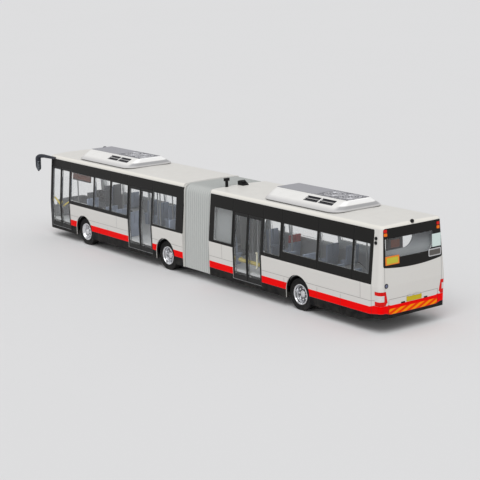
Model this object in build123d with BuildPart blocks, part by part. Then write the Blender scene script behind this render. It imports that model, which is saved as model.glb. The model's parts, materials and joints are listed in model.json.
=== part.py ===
from build123d import *
import os

os.makedirs("parts", exist_ok=True)

# Articulated city bus, a collectors' scale model of about 1:76, in millimetres.
# +X is forwards, +Y is the door side and +Z is up. Levels in this file are counted from the body's
# datum, which lies ride_lift above the ground. Every piece is lifted by that much when it is written,
# so that the ground under the tyres is at z = 0. The origin is on the centre line, midway between
# the tail and the mirrors.
ride_lift = 0.9

# ---------------------------------------------------------------- body section
half_width = 16.78
skirt_z = 3.15           # lower edge of the side walls
skirt_inset = 0.38       # the side walls lean in by this much towards the skirt
waist_z = 16.9           # widest level
eaves_z = 38.9           # where the side walls would meet the roof without its shoulder
eaves_inset = 1.79       # the side walls lean in by this much towards the roof
crown_z = 39.5
shoulder_r = 1.4
wall = 1.2
skin = 0.5               # depth of the recess that takes the window bands
glazing_t = 0.5          # clear moulding inside the wall
flush_step = 0.08        # glass lies this far under the skin
fit_gap = 0.05           # assembly clearance between moulded pieces

# ---------------------------------------------------------------- front and tail
front_corner_r = 2.4
front_bow = 0.7          # the nose bulges by this much at its middle
front_skirt_back = -0.5  # the nose is this far back at the skirt
front_eaves_back = 0.1   # and this far back at the roof
tail_corner_r = 1.7
tail_bow = 0.3
tail_skirt_back = 0.2
tail_eaves_back = 1.0

# ---------------------------------------------------------------- window and door bays
# name, kind, post before the bay, width, sill, top
front_bays = [           # counted from the bellows forwards
    ("bay_1", "window", 4.95, 17.60, 18.4, 32.7),
    ("middle_door", "door", 0.55, 19.50, 4.6, 32.9),
    ("bay_2", "window", 0.55, 13.20, 19.1, 32.9),
    ("bay_3", "window", 1.55, 13.20, 19.2, 33.0),
    ("bay_4", "window", 1.15, 20.50, 19.1, 32.9),
    ("entrance_door", "door", 0.65, 17.40, 4.6, 34.0),
]
front_end_post = 3.10
rear_bays = [            # counted from the tail forwards
    ("bay_5", "window", 6.80, 8.10, 21.1, 32.3),
    ("bay_6", "window", 1.15, 18.30, 21.1, 32.3),
    ("bay_7", "window", 1.35, 19.70, 21.1, 32.3),
    ("bay_8", "window", 1.90, 10.10, 18.9, 32.3),
    ("rear_door", "door", 1.10, 18.85, 4.6, 32.2),
    ("bay_9", "window", 0.75, 12.10, 18.6, 32.4),
]
rear_end_post = 3.25
window_corner_r = 0.35
driver_window_sill = 17.9
band_low_z = 17.5
band_top_z = 37.6
tail_band_start = 5.06   # the side band starts this far from the tail
nose_band_end = 2.5      # and stops this far from the nose
band_corner_r = 0.5

# ---------------------------------------------------------------- bellows and pivot
bellows_length = 19.24
bellows_pleats = 13
bellows_inset = 1.25     # crests lie this far inside the body's sides
bellows_depth = 0.8
bellows_sheet = 0.45
bellows_bottom_z = 3.1
bellows_top_z = 38.1
bellows_corner_r = 2.6
tongue_width = 8.0
tongue_gap = 0.2
pivot_r = 1.5
running_gap = 0.05
pin_head_r = 2.8
pin_head_t = 0.6
turntable_r = 9.1
turntable_boss_r = 3.0

# ---------------------------------------------------------------- chassis and floor
base_z = 3.6
base_t = 1.2
rail_y = 5.2
rail_t = 1.2
floor_z = 7.6            # underside of the saloon floor
floor_t = 0.8
arch_r = 7.0             # wheel arch in the side wall
arch_z = 6.35            # level of its centre
box_gap = 1.0            # wheel box inside, around the tyre
box_t = 0.7
display_screw_r = 1.0
display_screw_depth = 2.6
display_boss_r = 2.4
display_boss_h = 2.0

# ---------------------------------------------------------------- wheels
tyre_r = 6.3
tyre_w = 3.6
tyre_bead_r = 3.95
axle_z = tyre_r - ride_lift
twin_gap = 0.4
wheel_face_y = 14.95     # outer face of the outer tyre
axle_r = 0.75
rim_t = 0.45
hand_holes = 10          # round holes in each wheel's disc
hand_hole_r = 0.36
hand_hole_ring = 2.62
front_axle_lead = 9.00   # from the start of bay_4
middle_axle_lead = 8.45  # from the start of bay_1
rear_axle_lead = 10.80    # from the start of bay_7

# ---------------------------------------------------------------- roof pods
pod_length = 44.4
pod_levels = [           # level, half width, set-back of the ends, corner radius
    (38.0, 12.2, 0.6, 4.4), (39.5, 12.4, 0.5, 4.6), (39.65, 13.1, 0.0, 5.0), (39.95, 13.1, 0.0, 5.0),
    (41.5, 10.4, 0.6, 4.0), (43.15, 7.1, 0.9, 2.4), (43.4, 6.1, 1.3, 1.6),
]
pod_louvre_y = [(7.5, 8.7), (9.0, 10.2)]
pod_louvre_x = [(5.2, 13.1), (13.9, 21.6)]   # from the pod's rear end
pod_louvre_depth = 0.4
pod_plate_t = 0.3
front_pod_lead = 46.3    # from the bellows end of the front section
rear_pod_lead = 28.5     # from the tail

# ---------------------------------------------------------------- doors
door_recess = 0.15
door_stile = 1.15
door_meeting = 1.6
door_rail_bottom = 2.2
door_rail_top = 1.1
door_glass_t = 0.6

# ---------------------------------------------------------------- stations
bay_span = lambda bays: sum(post + width for _, _, post, width, _, _ in bays)
rear_length = bay_span(rear_bays) + rear_end_post
front_length = bay_span(front_bays) + front_end_post
mirror_lead = 4.6        # the mirrors reach this far ahead of the nose
tail_x = -(rear_length + bellows_length + front_length + mirror_lead) / 2
rear_end_x = tail_x + rear_length
front_end_x = rear_end_x + bellows_length
nose_x = front_end_x + front_length
pivot_x = (rear_end_x + front_end_x) / 2


def bay_openings(bays, start_x):
    """Each bay's name and its (x0, x1, z0, z1), walked along the body from start_x."""
    openings = {}
    x = start_x
    for name, kind, post, width, sill, top in bays:
        x += post
        openings[name] = (x, x + width, sill, top)
        x += width
    return openings


front_openings = bay_openings(front_bays, front_end_x)
rear_openings = bay_openings(rear_bays, tail_x)
front_axle_x = front_openings["bay_4"][0] + front_axle_lead
middle_axle_x = front_openings["bay_1"][0] + middle_axle_lead
rear_axle_x = rear_openings["bay_7"][0] + rear_axle_lead


# ---------------------------------------------------------------- shared forms
def plan_outline(z, open_x, end_x, half, bow, corner_r):
    """One level of a body in plan: square at the bellows, bowed and rounded at the far end."""
    outward = 1 if end_x > open_x else -1
    with BuildSketch(Plane.XY.offset(z)) as outline:
        with BuildLine():
            Polyline((end_x, half), (open_x, half), (open_x, -half), (end_x, -half))
            ThreePointArc((end_x, -half), (end_x + outward * bow, 0), (end_x, half))
        make_face()
        fillet(outline.vertices().group_by(Axis.X)[-1 if outward > 0 else 0], radius=corner_r)
    return outline.sketch


def body_volume(open_x, end_x, levels, bow, corner_r, inset, bottom_z):
    """Closed volume of one body section, moved inwards by inset, from bottom_z to the roof."""
    outward = 1 if end_x > open_x else -1
    radius = max(corner_r - inset, 0.2)
    outlines = [
        plan_outline(
            z, open_x, end_x - outward * (back + bow + inset), half_width - half_inset - inset, bow, radius,
        )
        for z, half_inset, back in levels
    ]
    with BuildPart() as volume:
        loft(outlines, ruled=True)
        with BuildSketch(Plane.YZ.offset(open_x - outward)):
            with BuildLine():
                edge = half_width + 2
                Line((-edge, bottom_z), (edge, bottom_z))
                Line((edge, bottom_z), (edge, eaves_z - inset))
                ThreePointArc((edge, eaves_z - inset), (0, crown_z - inset), (-edge, eaves_z - inset))
                Line((-edge, eaves_z - inset), (-edge, bottom_z))
            make_face()
        extrude(amount=outward * (abs(end_x - open_x) + 2), mode=Mode.INTERSECT)
        if inset < shoulder_r / 2:
            rim = volume.faces().sort_by(Axis.Z)[-1].edges().sort_by(Axis.X)
            fillet(rim[1:] if outward > 0 else rim[:-1], radius=shoulder_r - inset)
    return volume.part


low_z = skirt_z - 3
slope_low = skirt_inset / (waist_z - skirt_z)
slope_high = eaves_inset / (eaves_z - waist_z)
high_z = crown_z + 1
over = high_z - waist_z
front_levels = [         # level, inset of the sides, set-back of the nose
    (low_z, slope_low * (waist_z - low_z), front_skirt_back),
    (waist_z, 0.0, 0.0),
    (high_z, slope_high * over, front_eaves_back),
]
rear_levels = [          # level, inset of the sides, set-back of the tail
    (low_z, slope_low * (waist_z - low_z), tail_skirt_back),
    (waist_z, 0.0, 0.0),
    (high_z, slope_high * over, tail_eaves_back),
]


volumes = {}


def front_volume(inset, bottom_z=skirt_z, open_x=front_end_x):
    """Volume of the front section; each one is made once and kept."""
    key = ("front", inset, bottom_z, open_x)
    if key not in volumes:
        volumes[key] = body_volume(
            open_x, nose_x, front_levels, front_bow, front_corner_r, inset, bottom_z,
        )
    return volumes[key]


def rear_volume(inset, bottom_z=skirt_z, open_x=rear_end_x):
    """Volume of the rear section; each one is made once and kept."""
    key = ("rear", inset, bottom_z, open_x)
    if key not in volumes:
        volumes[key] = body_volume(
            open_x, tail_x, rear_levels, tail_bow, tail_corner_r, inset, bottom_z,
        )
    return volumes[key]


side_reach = 1 + eaves_inset + wall + fit_gap + glazing_t + 0.3


def side_prism(rectangles, side, grow=0.0, radius=0.0, reach=side_reach):
    """Bars through one side wall, one for each (x0, x1, z0, z1)."""
    with BuildPart() as prism:
        with BuildSketch(Plane.XZ.offset(-side * (half_width + 1))):
            for x0, x1, z0, z1 in rectangles:
                with Locations(((x0 + x1) / 2, (z0 + z1) / 2)):
                    if radius > 0:
                        RectangleRounded(x1 - x0 + 2 * grow, z1 - z0 + 2 * grow, radius)
                    else:
                        Rectangle(x1 - x0 + 2 * grow, z1 - z0 + 2 * grow)
        extrude(amount=side * reach)
    return prism.part


def end_prism(rectangles, face_x, reach, grow=0.0, radius=0.0):
    """Bars through the nose or the tail, one for each (y0, y1, z0, z1)."""
    with BuildPart() as prism:
        with BuildSketch(Plane.YZ.offset(face_x)):
            for y0, y1, z0, z1 in rectangles:
                with Locations(((y0 + y1) / 2, (z0 + z1) / 2)):
                    if radius > 0:
                        RectangleRounded(y1 - y0 + 2 * grow, z1 - z0 + 2 * grow, radius)
                    else:
                        Rectangle(y1 - y0 + 2 * grow, z1 - z0 + 2 * grow)
        extrude(amount=reach)
    return prism.part


def wall_layer(volume, prism, outer_inset, inner_inset):
    """The part of prism that lies in the wall, between two depths under its outer face."""
    with BuildPart() as layer:
        add(prism)
        add(volume(outer_inset), mode=Mode.INTERSECT)
        add(volume(inner_inset), mode=Mode.SUBTRACT)
    return layer.part


def wheel_cut(axle_x, centre_z, radius, y0, y1):
    """Space around a wheel: a half round over the axle, straight down below it."""
    with BuildPart() as space:
        with BuildSketch(Plane.XZ.offset(-y0)):
            with Locations((axle_x, centre_z)):
                Circle(radius)
            with Locations((axle_x, centre_z)):
                Rectangle(2 * radius, 2 * tyre_r, align=(Align.CENTER, Align.MAX))
        extrude(amount=-(y1 - y0))
    return space.part


# ---------------------------------------------------------------- bay layout
def kinds(bays, kind):
    return [name for name, k, *_ in bays if k == kind]


front_band = (front_end_x, nose_x - nose_band_end, band_low_z, band_top_z)
rear_band = (tail_x + tail_band_start, rear_end_x, band_low_z, band_top_z)
front_recess = (front_end_x - 1, nose_x - nose_band_end, band_low_z, band_top_z)
rear_recess = (tail_x + tail_band_start, rear_end_x + 1, band_low_z, band_top_z)
front_doors_at = [front_openings[name] for name in kinds(front_bays, "door")]
rear_doors_at = [rear_openings[name] for name in kinds(rear_bays, "door")]
front_windows_left = [front_openings[name] for name in kinds(front_bays, "window")]
rear_windows_left = [rear_openings[name] for name in kinds(rear_bays, "window")]
middle_door_at, entrance_door_at = front_doors_at
rear_door_at = rear_doors_at[0]
bay_top = front_openings["bay_1"][3]
front_windows_right = front_windows_left + [
    (middle_door_at[0], middle_door_at[1] - 0.9, front_openings["bay_2"][2], bay_top),
    (entrance_door_at[0], entrance_door_at[1] - 3.0, driver_window_sill, entrance_door_at[3]),
]
rear_windows_right = rear_windows_left + [
    (rear_door_at[0] + 0.4, rear_door_at[1] - 0.4, rear_openings["bay_9"][2], rear_openings["bay_9"][3]),
]


def departure_cut(rise):
    """Space under the tail, where the skirts slope up towards a higher valance."""
    with BuildPart() as space:
        with BuildSketch(Plane.XZ.offset(-half_width - 2)):
            with BuildLine():
                Polyline(
                    (tail_x - 3, -3), (tail_x - 3, tail_valance_z + rise + 0.1), (tail_x + 3.6, tail_valance_z + rise),
                    (tail_x + 13.2, skirt_z - 0.2 + rise), (tail_x + 13.2, -3), close=True,
                )
            make_face()
        extrude(amount=2 * half_width + 4)
    return space.part


# ---------------------------------------------------------------- shells
windscreen_low = (14.3, 14.0)    # y, z of a lower corner
windscreen_high = (12.8, 37.2)   # y, z of an upper corner
windscreen_r = 1.3
lamp_depth = 0.7
headlamp_y = (8.6, 14.9)
headlamp_z = (8.4, 12.2)
headlamp_r = 1.2
tail_panel_half = (15.05, 14.4)  # at its lower and its upper edge
tail_panel_z = (24.1, 38.2)
tail_panel_bow = 1.1     # its lower edge hangs by this much at the middle
tail_panel_r = 0.8
tail_valance_z = 5.1     # lower edge of the tail
tail_lamp_y = 12.9
tail_lamp_wrap = 3.3
tail_lamp_z = (9.9, 15.3)
tail_lamp_lean = 1.3     # the lamps' inner edges lean out by this much towards the top

headlamp_rects = [(headlamp_y[0], headlamp_y[1], *headlamp_z), (-headlamp_y[1], -headlamp_y[0], *headlamp_z)]
nose_reach = -(1 + front_bow + front_eaves_back + wall + 0.6)
tail_reach = tail_corner_r + tail_eaves_back + 2.0


def tail_lamp_block(grow):
    """Two blocks on the tail's corners, wrapping from the tail onto the sides."""
    with BuildPart() as block:
        for side in (1, -1):
            with BuildSketch(Plane.XY.offset(tail_lamp_z[0] - grow)):
                with Locations((tail_x - 1, side * (half_width + 1))):
                    Rectangle(
                        tail_lamp_wrap + 1 + grow, half_width + 1 - tail_lamp_y + grow,
                        align=(Align.MIN, Align.MAX if side > 0 else Align.MIN),
                    )
            extrude(amount=tail_lamp_z[1] - tail_lamp_z[0] + 2 * grow)
            with BuildSketch(Plane.YZ.offset(tail_x - 2)):
                with BuildLine():
                    foot = side * (tail_lamp_y - grow)
                    Polyline(
                        (foot - side, tail_lamp_z[0] - 1), (foot, tail_lamp_z[0] - grow), (foot, tail_lamp_z[0] + 0.4),
                        (foot + side * tail_lamp_lean, tail_lamp_z[1] + 1), (foot - side, tail_lamp_z[1] + 1),
                        close=True,
                    )
                make_face()
            extrude(amount=tail_lamp_wrap + 4, mode=Mode.SUBTRACT)
    return block.part


def tail_panel_prism(grow):
    """Bar through the tail with the black panel's outline, which hangs down in a bow."""
    low, high = tail_panel_half
    z_low, z_high = tail_panel_z
    with BuildPart() as prism:
        with BuildSketch(Plane.YZ.offset(tail_x - 1)) as outline:
            with BuildLine():
                Polyline((low, z_low), (high, z_high), (-high, z_high), (-low, z_low))
                ThreePointArc((-low, z_low), (0, z_low - tail_panel_bow), (low, z_low))
            make_face()
            fillet(outline.vertices(), radius=tail_panel_r)
            offset(amount=grow, kind=Kind.INTERSECTION)
        extrude(amount=tail_reach)
    return prism.part


def windscreen_prism(grow):
    """Bar through the nose with the windscreen's outline."""
    with BuildPart() as prism:
        with BuildSketch(Plane.YZ.offset(nose_x + 1)) as outline:
            with BuildLine():
                y_low, z_low = windscreen_low
                y_high, z_high = windscreen_high
                Polyline((-y_low, z_low), (y_low, z_low), (y_high, z_high), (-y_high, z_high), close=True)
            make_face()
            fillet(outline.vertices(), radius=windscreen_r)
            offset(amount=grow, kind=Kind.INTERSECTION)
        extrude(amount=nose_reach)
    return prism.part


tail_window = (-10.1, 13.9, 27.1, 34.4)   # y and z of the tail window
tail_window_r = 3.2                       # its lower corner on the right side


def tail_window_prism(grow):
    with BuildPart() as prism:
        with BuildSketch(Plane.YZ.offset(tail_x - 1)) as sketch:
            with BuildLine():
                y0, y1, z0, z1 = tail_window
                Polyline((y0, z0), (y1, z0), (y1, z1), (y0, z1), close=True)
            make_face()
            corner = min(sketch.vertices(), key=lambda v: v.X + v.Y)
            fillet([corner], radius=tail_window_r)
            offset(amount=grow, kind=Kind.INTERSECTION)
        extrude(amount=tail_reach)
    return prism.part


def side_openings(volume, recess, doors, windows_left, windows_right):
    """What the side walls lose: the recesses of the bands, the windows and the doors."""
    with BuildPart() as openings:
        for side, windows in ((1, windows_left), (-1, windows_right)):
            add(wall_layer(volume, side_prism([recess], side, 0, band_corner_r), -0.5, skin))
            add(side_prism(windows, side, 0, window_corner_r))
        add(side_prism(doors, 1))
    return openings.part


with BuildPart() as front_shell:
    add(front_volume(0))
    add(front_volume(wall, low_z, front_end_x - 1), mode=Mode.SUBTRACT)
    add(
        side_openings(front_volume, front_recess, front_doors_at, front_windows_left, front_windows_right),
        mode=Mode.SUBTRACT,
    )
    add(windscreen_prism(0), mode=Mode.SUBTRACT)
    add(
        wall_layer(front_volume, end_prism(headlamp_rects, nose_x + 1, nose_reach, radius=headlamp_r), 0, lamp_depth),
        mode=Mode.SUBTRACT,
    )
    for axle_x in (front_axle_x, middle_axle_x):
        add(wheel_cut(axle_x, arch_z, arch_r, -half_width - 1, half_width + 1), mode=Mode.SUBTRACT)
front_shell.part.label = "front_shell"

with BuildPart() as rear_shell:
    add(rear_volume(0))
    add(rear_volume(wall, low_z, rear_end_x + 1), mode=Mode.SUBTRACT)
    add(
        side_openings(rear_volume, rear_recess, rear_doors_at, rear_windows_left, rear_windows_right),
        mode=Mode.SUBTRACT,
    )
    add(wall_layer(rear_volume, tail_panel_prism(0), 0, skin), mode=Mode.SUBTRACT)
    add(tail_window_prism(0), mode=Mode.SUBTRACT)
    add(wall_layer(rear_volume, tail_lamp_block(0), 0, lamp_depth), mode=Mode.SUBTRACT)
    add(wheel_cut(rear_axle_x, arch_z, arch_r, -half_width - 1, half_width + 1), mode=Mode.SUBTRACT)
    add(departure_cut(0.0), mode=Mode.SUBTRACT)
rear_shell.part.label = "rear_shell"


# ---------------------------------------------------------------- window bands and glazing
def window_bands(volume, band, doors, windows_left, windows_right):
    """Black outer layer of the side walls, with the doors and the windows cut out."""
    with BuildPart() as bands:
        add(wall_layer(volume, side_prism([band], 1, -fit_gap, band_corner_r), 0, skin))
        add(wall_layer(volume, side_prism([band], -1, -fit_gap, band_corner_r), 0, skin))
        add(side_prism(doors, 1, fit_gap), mode=Mode.SUBTRACT)
        add(side_prism(windows_left, 1, radius=window_corner_r), mode=Mode.SUBTRACT)
        add(side_prism(windows_right, -1, radius=window_corner_r), mode=Mode.SUBTRACT)
        add(windscreen_prism(0.3), mode=Mode.SUBTRACT)
    return bands.part


def side_glazing(volume, band, doors, windows_left, windows_right):
    """Clear mouldings inside the side walls, with a raised pane in each window."""
    x0, x1, z0, z1 = band
    backing = (x0 + 1.0, x1 - 1.0, z0 + 0.3, z1 - 0.6)
    with BuildPart() as glazing:
        for side, windows in ((1, windows_left), (-1, windows_right)):
            sheet = side_prism([backing], side, 0, band_corner_r)
            add(wall_layer(volume, sheet, wall + fit_gap, wall + fit_gap + glazing_t))
            panes = side_prism(windows, side, -fit_gap, window_corner_r - fit_gap)
            add(wall_layer(volume, panes, flush_step, wall + fit_gap + glazing_t))
        add(side_prism(doors, 1, fit_gap), mode=Mode.SUBTRACT)
        add(windscreen_prism(0.3), mode=Mode.SUBTRACT)
    return glazing.part


with BuildPart() as front_window_bands:
    add(window_bands(front_volume, front_band, front_doors_at, front_windows_left, front_windows_right))
front_window_bands.part.label = "front_window_bands"

with BuildPart() as front_glazing:
    add(side_glazing(front_volume, front_band, front_doors_at, front_windows_left, front_windows_right))
front_glazing.part.label = "front_glazing"

with BuildPart() as rear_window_bands:
    add(window_bands(rear_volume, rear_band, rear_doors_at, rear_windows_left, rear_windows_right))
rear_window_bands.part.label = "rear_window_bands"

with BuildPart() as rear_glazing:
    add(side_glazing(rear_volume, rear_band, rear_doors_at, rear_windows_left, rear_windows_right))
rear_glazing.part.label = "rear_glazing"

with BuildPart() as windscreen:
    add(wall_layer(front_volume, windscreen_prism(-fit_gap), flush_step, wall))
windscreen.part.label = "windscreen"

with BuildPart() as tail_panel:
    add(wall_layer(rear_volume, tail_panel_prism(-fit_gap), 0, skin))
    add(tail_window_prism(0), mode=Mode.SUBTRACT)
tail_panel.part.label = "tail_panel"

with BuildPart() as tail_glass:
    add(wall_layer(rear_volume, tail_window_prism(-fit_gap), flush_step, wall))
tail_glass.part.label = "tail_glass"


# ---------------------------------------------------------------- doors
def leaf_panes(door):
    """The two glass openings of a double door."""
    x0, x1, z0, z1 = door
    pane = (x1 - x0 - 2 * door_stile - door_meeting) / 2
    low = z0 + door_rail_bottom
    high = z1 - door_rail_top
    return [(x0 + door_stile, x0 + door_stile + pane, low, high), (x1 - door_stile - pane, x1 - door_stile, low, high)]


def door_frames(volume, doors):
    """Double doors, each a frame with two tall openings and a groove where the leaves meet."""
    with BuildPart() as frames:
        for door in doors:
            add(wall_layer(volume, side_prism([door], 1, -fit_gap), door_recess, wall))
            add(side_prism(leaf_panes(door), 1, radius=window_corner_r), mode=Mode.SUBTRACT)
            middle = (door[0] + door[1]) / 2
            seam = side_prism([(middle - 0.15, middle + 0.15, door[2] - 1, door[3] + 1)], 1)
            add(wall_layer(volume, seam, 0, door_recess + 0.4), mode=Mode.SUBTRACT)
    return frames.part


def door_panes(volume, doors):
    """Glass of the doors, one pane in each leaf."""
    inset = door_recess + flush_step
    with BuildPart() as panes:
        for door in doors:
            pane = side_prism(leaf_panes(door), 1, -fit_gap, window_corner_r - fit_gap)
            add(wall_layer(volume, pane, inset, inset + door_glass_t))
    return panes.part


with BuildPart() as front_doors:
    add(door_frames(front_volume, front_doors_at))
front_doors.part.label = "front_doors"

with BuildPart() as front_door_glass:
    add(door_panes(front_volume, front_doors_at))
front_door_glass.part.label = "front_door_glass"

with BuildPart() as rear_doors:
    add(door_frames(rear_volume, rear_doors_at))
rear_doors.part.label = "rear_doors"

with BuildPart() as rear_door_glass:
    add(door_panes(rear_volume, rear_doors_at))
rear_door_glass.part.label = "rear_door_glass"

# ---------------------------------------------------------------- lamps
with BuildPart() as headlamps:
    lenses = end_prism(headlamp_rects, nose_x + 1, nose_reach, -fit_gap, headlamp_r)
    add(wall_layer(front_volume, lenses, flush_step, lamp_depth - fit_gap))
headlamps.part.label = "headlamps"

with BuildPart() as tail_lamps:
    add(wall_layer(rear_volume, tail_lamp_block(-fit_gap), 0, lamp_depth - fit_gap))
tail_lamps.part.label = "tail_lamps"

# ---------------------------------------------------------------- chassis
base_top = base_z + base_t
wheel_inner_front = wheel_face_y - tyre_w
wheel_inner_twin = wheel_face_y - 2 * tyre_w - twin_gap
inner_inset = wall + 2 * fit_gap


def base_plate(volume, end_x, sign, wheels):
    """Floor pan inside the skirts, with rails that carry the axles and the saloon floor."""
    length = front_length if sign > 0 else rear_length
    start = end_x + sign * fit_gap
    stop = end_x + sign * (length - 9.0)
    with BuildPart() as plate:
        add(volume(inner_inset, base_z))
        split(bisect_by=Plane.XY.offset(base_top), keep=Keep.BOTTOM)
        with BuildSketch(Plane.XY.offset(base_top)):
            for side in (1, -1):
                with Locations(((start + stop) / 2, side * rail_y)):
                    Rectangle(abs(stop - start), rail_t)
        extrude(amount=floor_z - base_top)
        with BuildSketch(Plane.XY.offset(base_z)):
            for axle_x, inner_y in wheels:
                for side in (1, -1):
                    with Locations((axle_x, side * (half_width + inner_y - box_gap) / 2)):
                        Rectangle(2 * (tyre_r + box_gap), half_width - inner_y + box_gap)
        extrude(amount=base_t, mode=Mode.SUBTRACT)
        with BuildSketch(Plane.XZ.offset(-half_width)):
            with Locations(*[(axle_x, axle_z) for axle_x, _ in wheels]):
                Circle(axle_r + running_gap)
        extrude(amount=2 * half_width, mode=Mode.SUBTRACT)
    return plate.part


def display_boss(x, radius, z0, height):
    """Post of the socket for a display base's screw, or the hole in it."""
    with BuildPart() as boss:
        with BuildSketch(Plane.XY.offset(z0)):
            with Locations((x, 0)):
                Circle(radius)
        extrude(amount=height)
    return boss.part


def tongue(end_x, z0, z1, bore_r):
    """Flat bar from a chassis to the pivot, rounded about the pivot's bore."""
    with BuildPart() as bar:
        with BuildSketch(Plane.XY.offset(z0)):
            with Locations(((end_x + pivot_x) / 2, 0)):
                Rectangle(abs(end_x - pivot_x), tongue_width)
            with Locations((pivot_x, 0)):
                Circle(tongue_width / 2)
            with Locations((pivot_x, 0)):
                Circle(bore_r, mode=Mode.SUBTRACT)
        extrude(amount=z1 - z0)
    return bar.part


front_socket_x = (front_axle_x + middle_axle_x) / 2
rear_socket_x = rear_axle_x + 20.0
upper_tongue_z = base_top + tongue_gap
upper_tongue_top = upper_tongue_z + base_t

with BuildPart() as front_chassis:
    add(base_plate(
        lambda inset, z: front_volume(inset, z, front_end_x + fit_gap), front_end_x, 1,
        [(front_axle_x, wheel_inner_front), (middle_axle_x, wheel_inner_twin)],
    ))
    with BuildSketch(Plane.XY.offset(base_top)):
        with Locations((front_end_x + fit_gap, 0)):
            Rectangle(2.0, 2 * rail_y, align=(Align.MIN, Align.CENTER))
    extrude(amount=floor_z - base_top)
    add(tongue(front_end_x + 0.5, upper_tongue_z, upper_tongue_top, pivot_r + 0.02))
    add(display_boss(front_socket_x, display_boss_r, base_top, floor_z - base_top))
    add(display_boss(front_socket_x, display_screw_r, base_z, display_screw_depth), mode=Mode.SUBTRACT)
front_chassis.part.label = "front_chassis"

with BuildPart() as rear_chassis:
    add(base_plate(
        lambda inset, z: rear_volume(inset, z, rear_end_x - fit_gap), rear_end_x, -1,
        [(rear_axle_x, wheel_inner_twin)],
    ))
    add(tongue(rear_end_x - 0.5, base_z, base_top, pivot_r + running_gap))
    add(display_boss(rear_socket_x, display_boss_r, base_top, floor_z - base_top))
    add(display_boss(rear_socket_x, display_screw_r, base_z, display_screw_depth), mode=Mode.SUBTRACT)
    add(departure_cut(0.5), mode=Mode.SUBTRACT)
rear_chassis.part.label = "rear_chassis"

with BuildPart() as pivot_pin:
    with BuildSketch(Plane.XY.offset(base_z - 0.1 - pin_head_t)):
        with Locations((pivot_x, 0)):
            Circle(pin_head_r)
    extrude(amount=pin_head_t)
    fillet(pivot_pin.edges().group_by(Axis.Z)[0], radius=pin_head_t / 2)
    with BuildSketch(Plane.XY.offset(base_z - 0.1)):
        with Locations((pivot_x, 0)):
            Circle(pivot_r)
    extrude(amount=upper_tongue_top - base_z + 0.1)
pivot_pin.part.label = "pivot_pin"

with BuildPart() as turntable:
    with BuildSketch(Plane.XY.offset(upper_tongue_top)):
        with Locations((pivot_x, 0)):
            Circle(turntable_boss_r)
    extrude(amount=floor_z - upper_tongue_top)
    with BuildSketch(Plane.XY.offset(floor_z)):
        with Locations((pivot_x, 0)):
            Circle(turntable_r)
    extrude(amount=floor_t)
turntable.part.label = "turntable"


# ---------------------------------------------------------------- saloon floor
def saloon_floor(volume, wheels):
    """Floor on the chassis rails, with a rounded box over each wheel."""
    with BuildPart() as floor:
        add(volume(inner_inset, floor_z))
        split(bisect_by=Plane.XY.offset(floor_z + floor_t), keep=Keep.BOTTOM)
        for axle_x, inner_y in wheels:
            for side in (1, -1):
                far = side * (half_width + 1)
                near = side * (inner_y - box_gap - box_t)
                box = wheel_cut(axle_x, axle_z, tyre_r + box_gap + box_t, min(near, far), max(near, far))
                add(box.intersect(volume(inner_inset, floor_z)))
                near = side * (inner_y - box_gap)
                space = wheel_cut(axle_x, axle_z, tyre_r + box_gap, min(near, far), max(near, far))
                add(space, mode=Mode.SUBTRACT)
    return floor.part


with BuildPart() as front_floor:
    add(saloon_floor(
        lambda inset, z: front_volume(inset, z, front_end_x + fit_gap),
        [(front_axle_x, wheel_inner_front), (middle_axle_x, wheel_inner_twin)],
    ))
front_floor.part.label = "front_floor"

with BuildPart() as rear_floor:
    add(saloon_floor(
        lambda inset, z: rear_volume(inset, z, rear_end_x - fit_gap), [(rear_axle_x, wheel_inner_twin)],
    ))
rear_floor.part.label = "rear_floor"

# ---------------------------------------------------------------- bellows
crest_low = half_width - skirt_inset - bellows_inset
crest_high = half_width - eaves_inset - bellows_inset
crest_top = bellows_top_z
pitch = (bellows_length - 2 * fit_gap) / bellows_pleats

with BuildPart() as bellows:
    start_x = rear_end_x + fit_gap
    with BuildLine() as hoop:
        FilletPolyline(
            (start_x, crest_low, bellows_bottom_z), (start_x, crest_high, crest_top),
            (start_x, -crest_high, crest_top), (start_x, -crest_low, bellows_bottom_z),
            radius=bellows_corner_r,
        )
    foot = Plane(origin=hoop.line @ 0, x_dir=(1, 0, 0), z_dir=hoop.line % 0)
    outer = [(i * pitch / 2, 0 if i % 2 else -bellows_depth) for i in range(2 * bellows_pleats + 1)]
    inner = [(u, v - bellows_sheet) for u, v in reversed(outer)]
    with BuildSketch(foot):
        with BuildLine():
            Polyline(*outer, *inner, close=True)
        make_face()
    sweep(path=hoop.line)
bellows.part.label = "bellows"


# ---------------------------------------------------------------- roof pods
def roof_pod(start_x, volume):
    """Air-conditioning housing: rounded shoulders, a recessed top and four louvres in each shoulder."""
    middle = start_x + pod_length / 2
    with BuildPart() as pod:
        for z, half, inset, radius in pod_levels:
            with BuildSketch(Plane.XY.offset(z)):
                with Locations((middle, 0)):
                    RectangleRounded(pod_length - 2 * inset, 2 * half, radius)
        loft(ruled=True)
        with BuildSketch(Plane.XY.offset(pod_top_z - pod_plate_t / 2)):
            with Locations((middle, 0)):
                Rectangle(pod_plate_length + 2 * fit_gap, pod_plate_width + 2 * fit_gap)
        extrude(amount=1, mode=Mode.SUBTRACT)
        for x0, x1 in pod_louvre_x:
            with BuildSketch(Plane.YZ.offset(start_x + x0)):
                for side in (1, -1):
                    for y0, y1 in pod_louvre_y:
                        with BuildLine():
                            Polyline(
                                (side * y0, shoulder_level(y0) - pod_louvre_depth),
                                (side * y1, shoulder_level(y1) - pod_louvre_depth),
                                (side * y1, pod_top_z + 1), (side * y0, pod_top_z + 1), close=True,
                            )
                        make_face()
            extrude(amount=x1 - x0, mode=Mode.SUBTRACT)
        add(volume(-fit_gap), mode=Mode.SUBTRACT)
    return pod.part


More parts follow.
